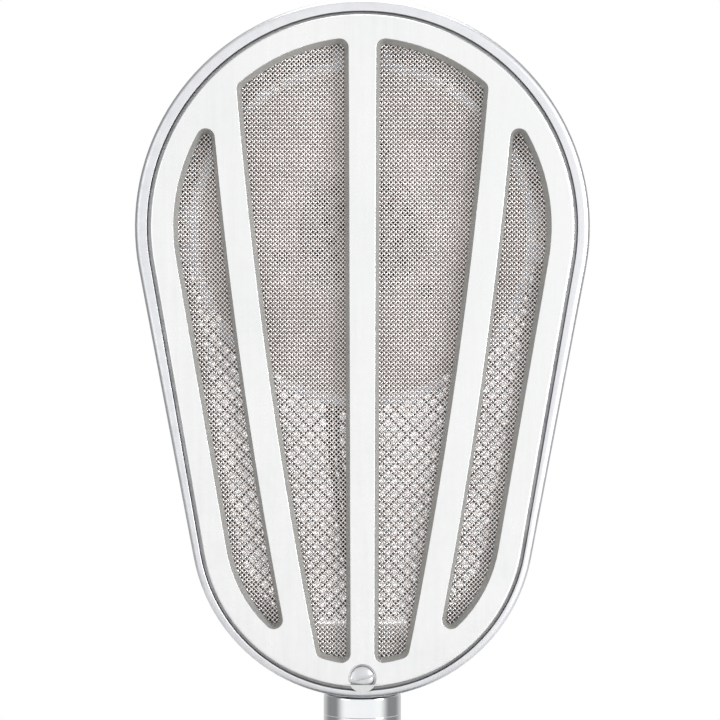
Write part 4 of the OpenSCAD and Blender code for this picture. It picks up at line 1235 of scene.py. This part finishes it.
leadShape = {"radius": 0.8, "sides": 10, "perSpan": 5, "plugGap": 4.3}
stemShape = {"bore": 8.5, "shoulder": 5.5, "wireY": 6.3, "midZ": 60,
             "edge": 0.3, "topEdge": 0.15, "fit": 0.05}
tubeLow, tubeHigh = boxMm("stem_tube")
stemRadius, boreRadius, wireY = tubeHigh[0], stemShape["bore"], stemShape["wireY"]
stemTop, plugZ = tubeHigh[2] + stemShape["shoulder"], boxMm("swivel_knuckle")[0][2]
plateZ = boxMm("base_plate")[1][2]
footZ, leadTopZ = shellShape["platformZ"] - 1, capsuleZ - leadShape["plugGap"]
# x, y and the share of the height from the platform up to the capsule
headLines = [
    [(-6, 14.1, 1), (-6.4, 14.4, 0.935), (-7.4, 14.2, 0.854), (-8.4, 13.6, 0.764), (-9, 13, 0.673),
     (-8.8, 12.6, 0.583), (-8.4, 12.2, 0.492), (-7.4, 11.8, 0.402), (-5.8, 11.4, 0.302),
     (-4.3, 11, 0.201), (-2.6, 10.2, 0.111), (-1.2, 9.2, 0.04), (-0.9, 8.6, 0)],
    [(6, 14.1, 1), (4.6, 15.6, 0.935), (0.6, 16.8, 0.854), (-3.6, 16.2, 0.764), (-6.2, 15.2, 0.673),
     (-6.7, 14.6, 0.583), (-6.4, 14.1, 0.492), (-5.2, 13.6, 0.402), (-3.9, 13.2, 0.302),
     (-2.2, 12.6, 0.201), (-0.6, 11.8, 0.111), (0.7, 10.6, 0.04), (0.9, 8.6, 0)],
    [(0, 14.1, 1), (0.2, 16.4, 0.945), (0.4, 19, 0.854), (-1, 19, 0.764), (-2.4, 18, 0.673),
     (-2.6, 17.2, 0.583), (-2.6, 16.4, 0.492), (-2, 15.8, 0.402), (-0.6, 15.2, 0.302),
     (0.8, 14.8, 0.201), (1.4, 14.2, 0.111), (0.9, 12.6, 0.04), (0, 10.5, 0)],
]


def sideStemLine(side):
    return [(0.9 * side, wireY - 0.5, stemTop - 0.5), (0.9 * side, wireY - 0.5, plugZ - 1),
            (side, 0.35 * boreRadius, 0.8 * plugZ), (side, 0, 0.5 * plugZ), (1.4 * side, 0, plateZ + 16.5),
            (2.4 * side, 0.2 * stemRadius, plateZ + 6.5), (4 * side, 0.6 * stemRadius, plateZ + 3.5),
            (5 * side, stemRadius, plateZ + 2.3), (5 * side, stemRadius + 1.2, plateZ + 2.1)]


stemLines = [sideStemLine(-1), sideStemLine(1),
             [(0, wireY + 1, stemTop - 0.5), (0, wireY + 0.9, plugZ - 1), (0, 0.54 * boreRadius, 0.8 * plugZ),
              (0, 0.2 * boreRadius, 0.5 * plugZ), (0, 0.26 * boreRadius, plateZ + 16.5),
              (0, 0.4 * stemRadius, plateZ + 6.5), (0, 0.7 * stemRadius, plateZ + 3.5),
              (0, stemRadius, plateZ + 2.3), (0, stemRadius + 1.2, plateZ + 2.1)]]


def smoothLine(points, perSpan):
    points = [Vector(p) for p in points]
    line = []
    for k in range(len(points) - 1):
        before, after = points[max(k - 1, 0)], points[min(k + 2, len(points) - 1)]
        a, b = points[k], points[k + 1]
        reach = (b - a).length
        pullA, pullB = (b - before).normalized() * reach, (after - a).normalized() * reach
        for s in range(perSpan):
            t = s / perSpan
            line.append(a * (2 * t ** 3 - 3 * t * t + 1) + pullA * (t ** 3 - 2 * t * t + t)
                        + b * (3 * t * t - 2 * t ** 3) + pullB * (t ** 3 - t * t))
    line.append(points[-1])
    return line


def tube(bm, line, radius, sides):
    rings = []
    side = Vector((1, 0, 0))
    angles = [2 * math.pi * i / sides for i in range(sides)]
    for k, point in enumerate(line):
        along = (line[min(k + 1, len(line) - 1)] - line[max(k - 1, 0)]).normalized()
        side = (side - along * side.dot(along)).normalized()
        up = along.cross(side)
        rings.append(addRing(bm, [point + radius * (math.cos(a) * side + math.sin(a) * up) for a in angles]))
    bridge(bm, rings)
    closeEnds(bm, rings)


def buildLeads():
    s = leadShape
    for k, (headLine, stemLine) in enumerate(zip(headLines, stemLines)):
        upper = [(x, y, footZ + share * (leadTopZ - footZ)) for x, y, share in headLine]
        bm = bmesh.new()
        tube(bm, smoothLine(upper + stemLine, s["perSpan"]), s["radius"], s["sides"])
        piece = toObject(bm, f"lead{k + 1}")
        smoothMm(piece)
        piece.data.materials.append(materials["lead_rubber"])
        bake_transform(piece)
        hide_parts("capsule_leads", "stem_leads")


buildLeads()
print("leads laid")


# tilt joint

tiltShape = {
    "eye": 4.5, "tongueHalf": 4.5, "tongueEdge": 0.5, "pinHole": 2.06, "wireHole": 1.9,
    "plugEdge": 0.6, "shoulderEdge": 0.15, "topEdge": 0.9,
    "boltHead": 3.5, "boltPoint": 2.2, "boltDome": 0.9, "bolt": 2, "boltTip": 1.6, "slotHalf": 0.45,
    "nut": 3.9, "nutEdge": 0.3, "bore": 2.05,
    "washer": 3.8, "washerThick": 0.8, "washerEdge": 0.15, "nutWasher": 4.5,
}


def buildKnuckle():
    s = tiltShape
    eye, half, edge = s["eye"], s["tongueHalf"], s["tongueEdge"]
    plug, shoulderZ = boreRadius - stemShape["fit"], stemTop - stemShape["shoulder"]
    bm = bmesh.new()
    turn(bm, [(0, plugZ), (plug, plugZ, s["plugEdge"]), (plug, shoulderZ),
              (stemRadius, shoulderZ, s["shoulderEdge"]),
              (stemRadius, stemTop, s["topEdge"]), (0, stemTop)], axis="z")
    knuckle = toObject(bm, "swivelKnuckle")
    tongue = bmesh.new()
    arc = [math.pi * k / 24 for k in range(25)]
    outline = [(-eye, stemTop - 1)] + [(-eye * math.cos(a), pivotZ + eye * math.sin(a)) for a in arc]
    outline += [(eye, stemTop - 1)]
    rings = []
    for x, share in ((-half, 1 - edge / eye), (-half + edge, 1), (half - edge, 1), (half, 1 - edge / eye)):
        rings.append(addRing(tongue, [(x, y * share, pivotZ + (z - pivotZ) * share) for y, z in outline]))
    bridge(tongue, rings)
    closeEnds(tongue, rings)
    carve(knuckle, tongue, "UNION")
    holes = bmesh.new()
    rod(holes, (0, 0, pivotZ), s["pinHole"], -half - 1, half + 1, "x")
    rod(holes, (0, wireY, 0), s["wireHole"], plugZ - 1, stemTop + 1, "z")
    carve(knuckle, holes)
    dressPiece(knuckle, "swivel_knuckle")


def sixSided(bm, radius, x):
    return addRing(bm, [(x, *onCircle(radius, 60 * k, 0, pivotZ)) for k in range(6)])


def buildPivot():
    s = tiltShape
    low, high = boxMm("pivot_bolt")
    headX, endX, seatX = low[0], high[0], boxMm("pivot_washers")[0][0]
    bm = bmesh.new()
    turn(bm, [(0, headX), (s["boltPoint"], headX), (s["boltHead"], headX + s["boltDome"], 0.6),
              (s["boltHead"], seatX, 0.1), (s["bolt"], seatX), (s["bolt"], endX - 0.5), (s["boltTip"], endX),
              (0, endX)], (0, 0, pivotZ), "x", 48)
    bolt = toObject(bm, "pivotBolt")
    tool = bmesh.new()
    block(tool, (headX - 1, -5, pivotZ - s["slotHalf"]), (headX + 1, 5, pivotZ + s["slotHalf"]))
    carve(bolt, tool)
    dressPiece(bolt, "pivot_bolt")
    nearX, farX = boxMm("pivot_nut")[0][0], boxMm("pivot_nut")[1][0]
    edge, inner = s["nutEdge"], s["nut"] - s["nutEdge"]
    bm = bmesh.new()
    steps = ((nearX, inner), (nearX + edge, s["nut"]), (farX - edge, s["nut"]), (farX, inner),
             (farX, s["bore"]), (nearX, s["bore"]))
    bridge(bm, [sixSided(bm, radius, x) for x, radius in steps], closed=True)
    dressPiece(toObject(bm, "pivotNut"), "pivot_nut", sharp=25)
    bm = bmesh.new()
    for x in (seatX, endX - s["nutWasher"]):
        backX = x + s["washerThick"]
        turn(bm, [(s["bore"], x), (s["washer"], x, s["washerEdge"]), (s["washer"], backX, s["washerEdge"]),
                  (s["bore"], backX)], (0, 0, pivotZ), "x", 48)
    dressPiece(toObject(bm, "pivotWashers"), "pivot_washers")


buildKnuckle()
buildPivot()
print("tilt joint made")


# stem and base

collarShape = {"radius": 16, "beltHeight": 2.2, "neck": 14.6, "neckHeight": 2.9, "shoulder": 14.4,
               "shoulderDrop": 1.6, "top": 12.2}
baseShape = {"wall": 3.7, "edgeHeight": 15, "edgeRound": 3, "boss": 16, "bossBottom": 17, "roof": 6,
             "plateStep": 0.3, "post": 4, "postCircle": 52.3,
             "glandZ": 8.3, "glandBore": 3.65, "spotRadius": 4.9, "spotY": 62.8}
glandShape = {"bore": 2.6, "shank": 3.6, "flange": 4.6}
footShape = {"circle": 50.3, "sole": 7.2, "top": 8, "plug": 2}
castLow, castHigh = boxMm("base_casting")
tubeBore = stemRadius + stemShape["fit"]


def buildStem():
    s = stemShape
    turnedPiece("stemTube", "stem_tube", [
        (boreRadius, tubeLow[2]), (stemRadius, tubeLow[2], s["edge"]), (stemRadius, s["midZ"]),
        (stemRadius, tubeHigh[2], s["topEdge"]), (boreRadius, tubeHigh[2])])
    s = collarShape
    foot, top = boxMm("stem_collar")[0][2], boxMm("stem_collar")[1][2]
    turnedPiece("stemCollar", "stem_collar", [
        (tubeBore, foot), (s["radius"], foot, 0.4), (s["radius"], foot + s["beltHeight"], 0.35),
        (s["neck"], foot + s["neckHeight"], 0.35), (s["shoulder"], top - s["shoulderDrop"], 1.0),
        (s["top"], top, 0.8), (tubeBore, top, 0.25)])


def buildBase():
    s = baseShape
    radius, inner = castHigh[0], castHigh[0] - s["wall"]
    foot, top = castLow[2], castHigh[2]
    bm = bmesh.new()
    turn(bm, [(tubeBore, s["bossBottom"]), (s["boss"], s["bossBottom"]), (s["boss"], top - s["roof"]),
              (inner - 4, s["edgeHeight"] - 1), (inner, s["edgeHeight"] - 1.8), (inner, plateZ),
              (inner + s["plateStep"], plateZ), (inner + s["plateStep"], foot), (radius - 1, foot, 0.4),
              (radius, foot + 1, 0.4), (radius, s["edgeHeight"], s["edgeRound"]),
              (s["boss"] + 2, top - 0.6, 3), (s["boss"], top, 0.6), (tubeBore, top)],
         axis="z", count=180, steps=8)
    casting = toObject(bm, "baseCasting")
    posts, spotFace, bore = bmesh.new(), bmesh.new(), bmesh.new()
    for k in range(4):
        rod(posts, (*onCircle(s["postCircle"], 45 + 90 * k), 0), s["post"], plateZ, s["edgeHeight"], "z", 32)
    rod(spotFace, (0, 0, s["glandZ"]), s["spotRadius"], s["spotY"], radius + 2)
    rod(bore, (0, 0, s["glandZ"]), s["glandBore"], inner - 4, radius + 2)
    carve(casting, posts, "UNION")
    carve(casting, spotFace)
    carve(casting, bore)
    dressPiece(casting, "base_casting", sharp=32)


def buildGland():
    s, spotY = glandShape, baseShape["spotY"]
    near, far = boxMm("cable_gland")[0][1], boxMm("cable_gland")[1][1]
    turnedPiece("cableGland", "cable_gland", [
        (s["bore"], near), (s["shank"], near, 0.2), (s["shank"], spotY), (s["flange"], spotY, 0.15),
        (s["flange"], far, 0.7), (s["bore"], far, 0.5)], (0, 0, baseShape["glandZ"]), "y", 64)


def buildFeet():
    s = footShape
    seat, top = castLow[2], boxMm("rubber_feet")[1][2]
    bm = bmesh.new()
    for k in range(4):
        turn(bm, [(0, 0), (s["sole"], 0, 0.5), (s["top"], seat, 0.25), (s["plug"], seat),
                  (s["plug"], top), (0, top)],
             (*onCircle(s["circle"], 90 * k), 0), "z", 48)
    dressPiece(toObject(bm, "rubberFeet"), "rubber_feet")


buildStem()
buildBase()
buildGland()
buildFeet()
print("stem and base made")

# CAD nodes that stay get their finish and even shading
for name, node in frame["nodes"].items():
    node.data.materials.clear()
    node.data.materials.append(materials[nodeSlots[name]])
    if not node.hide_render:
        even = node.modifiers.new("evenShading", "WEIGHTED_NORMAL")
        even.keep_sharp = True

# floor and light, in metres

studio = {
    "floorRadius": 0.75, "fadeFrom": 0.42, "floor": (0.86, 0.86, 0.85), "floorRough": 0.6,
    "walls": ((0, 0.65), (0.30, 0.26), (0.52, 0.26), (0.82, 1.02)),  # from the back round to the front
    "ceiling": 0.6, "ceilingFrom": 0.35, "ceilingTo": 0.9, "aimZ": 0.18,
    "lamps": {"keyLight": ((1.0, -0.75, 0.34), 0.5, 9.5), "fillLight": ((-0.9, -0.7, 0.35), 0.6, 0.7),
              "topLight": ((0.05, 0.15, 1.1), 0.6, 4)},  # place, size and power
}


def buildFloor():
    # a pale disc that fades out towards its edge
    bm = bmesh.new()
    turns = [2 * math.pi * k / 96 for k in range(96)]
    rings = [addRing(bm, [(r * math.cos(a), r * math.sin(a), 0) for a in turns])
             for r in (0.05, 0.2, 0.4, studio["floorRadius"])]
    bridge(bm, rings)
    bm.faces.new(rings[0])
    floor = toObject(bm, "studioFloor")
    material = bpy.data.materials.new("paleFloor")
    material.use_nodes = True
    tree = material.node_tree
    shader = tree.nodes["Principled BSDF"]
    feed(tree, shader.inputs["Base Color"], studio["floor"])
    feed(tree, shader.inputs["Roughness"], studio["floorRough"])
    far = addNode(tree, "ShaderNodeVectorMath", operation="LENGTH")
    feed(tree, far.inputs[0], addNode(tree, "ShaderNodeTexCoord").outputs["Object"])
    fadeTo = studio["floorRadius"] - 0.02
    fade = remap(tree, far.outputs["Value"], studio["fadeFrom"], fadeTo, 1, 0, "SMOOTHSTEP")
    feed(tree, shader.inputs["Alpha"], fade)
    floor.data.materials.append(material)


def buildWorld():
    # the camera sees plain white; the metal sees a white front, dark sides, a grey back and a bright ceiling
    world = bpy.data.worlds.new("studioRoom")
    bpy.context.scene.world = world
    world.use_nodes = True
    tree = world.node_tree
    parts = addNode(tree, "ShaderNodeSeparateXYZ")
    feed(tree, parts.inputs[0], addNode(tree, "ShaderNodeTexCoord").outputs["Generated"])
    walls = addNode(tree, "ShaderNodeValToRGB")
    walls.color_ramp.interpolation = "EASE"
    while len(walls.color_ramp.elements) < len(studio["walls"]):
        walls.color_ramp.elements.new(0.5)
    for stop, (at, level) in zip(walls.color_ramp.elements, studio["walls"]):
        stop.position, stop.color = at, (level, level, level, 1)
    feed(tree, walls.inputs["Fac"], mathNode(tree, "MULTIPLY_ADD", parts.outputs["Y"], -0.5, 0.5))
    ceiling = remap(tree, parts.outputs["Z"], studio["ceilingFrom"], studio["ceilingTo"], 0, studio["ceiling"],
                    "SMOOTHSTEP")
    room = mixColour(tree, 1.0, walls.outputs[0], ceiling, "LIGHTEN")
    rays = addNode(tree, "ShaderNodeLightPath")
    seen = mixColour(tree, rays.outputs["Is Camera Ray"], room, (1, 1, 1))
    feed(tree, tree.nodes["Background"].inputs["Color"], seen)


def buildLamps():
    for name, (spot, size, power) in studio["lamps"].items():
        data = bpy.data.lights.new(name, "AREA")
        data.size, data.energy = size, power
        lamp = addObject(name, data)
        lamp.location = spot
        aim = Vector((0, 0, studio["aimZ"])) - Vector(spot)
        lamp.rotation_euler = aim.to_track_quat("-Z", "Y").to_euler()


buildFloor()
buildWorld()
buildLamps()
print("studio lit")
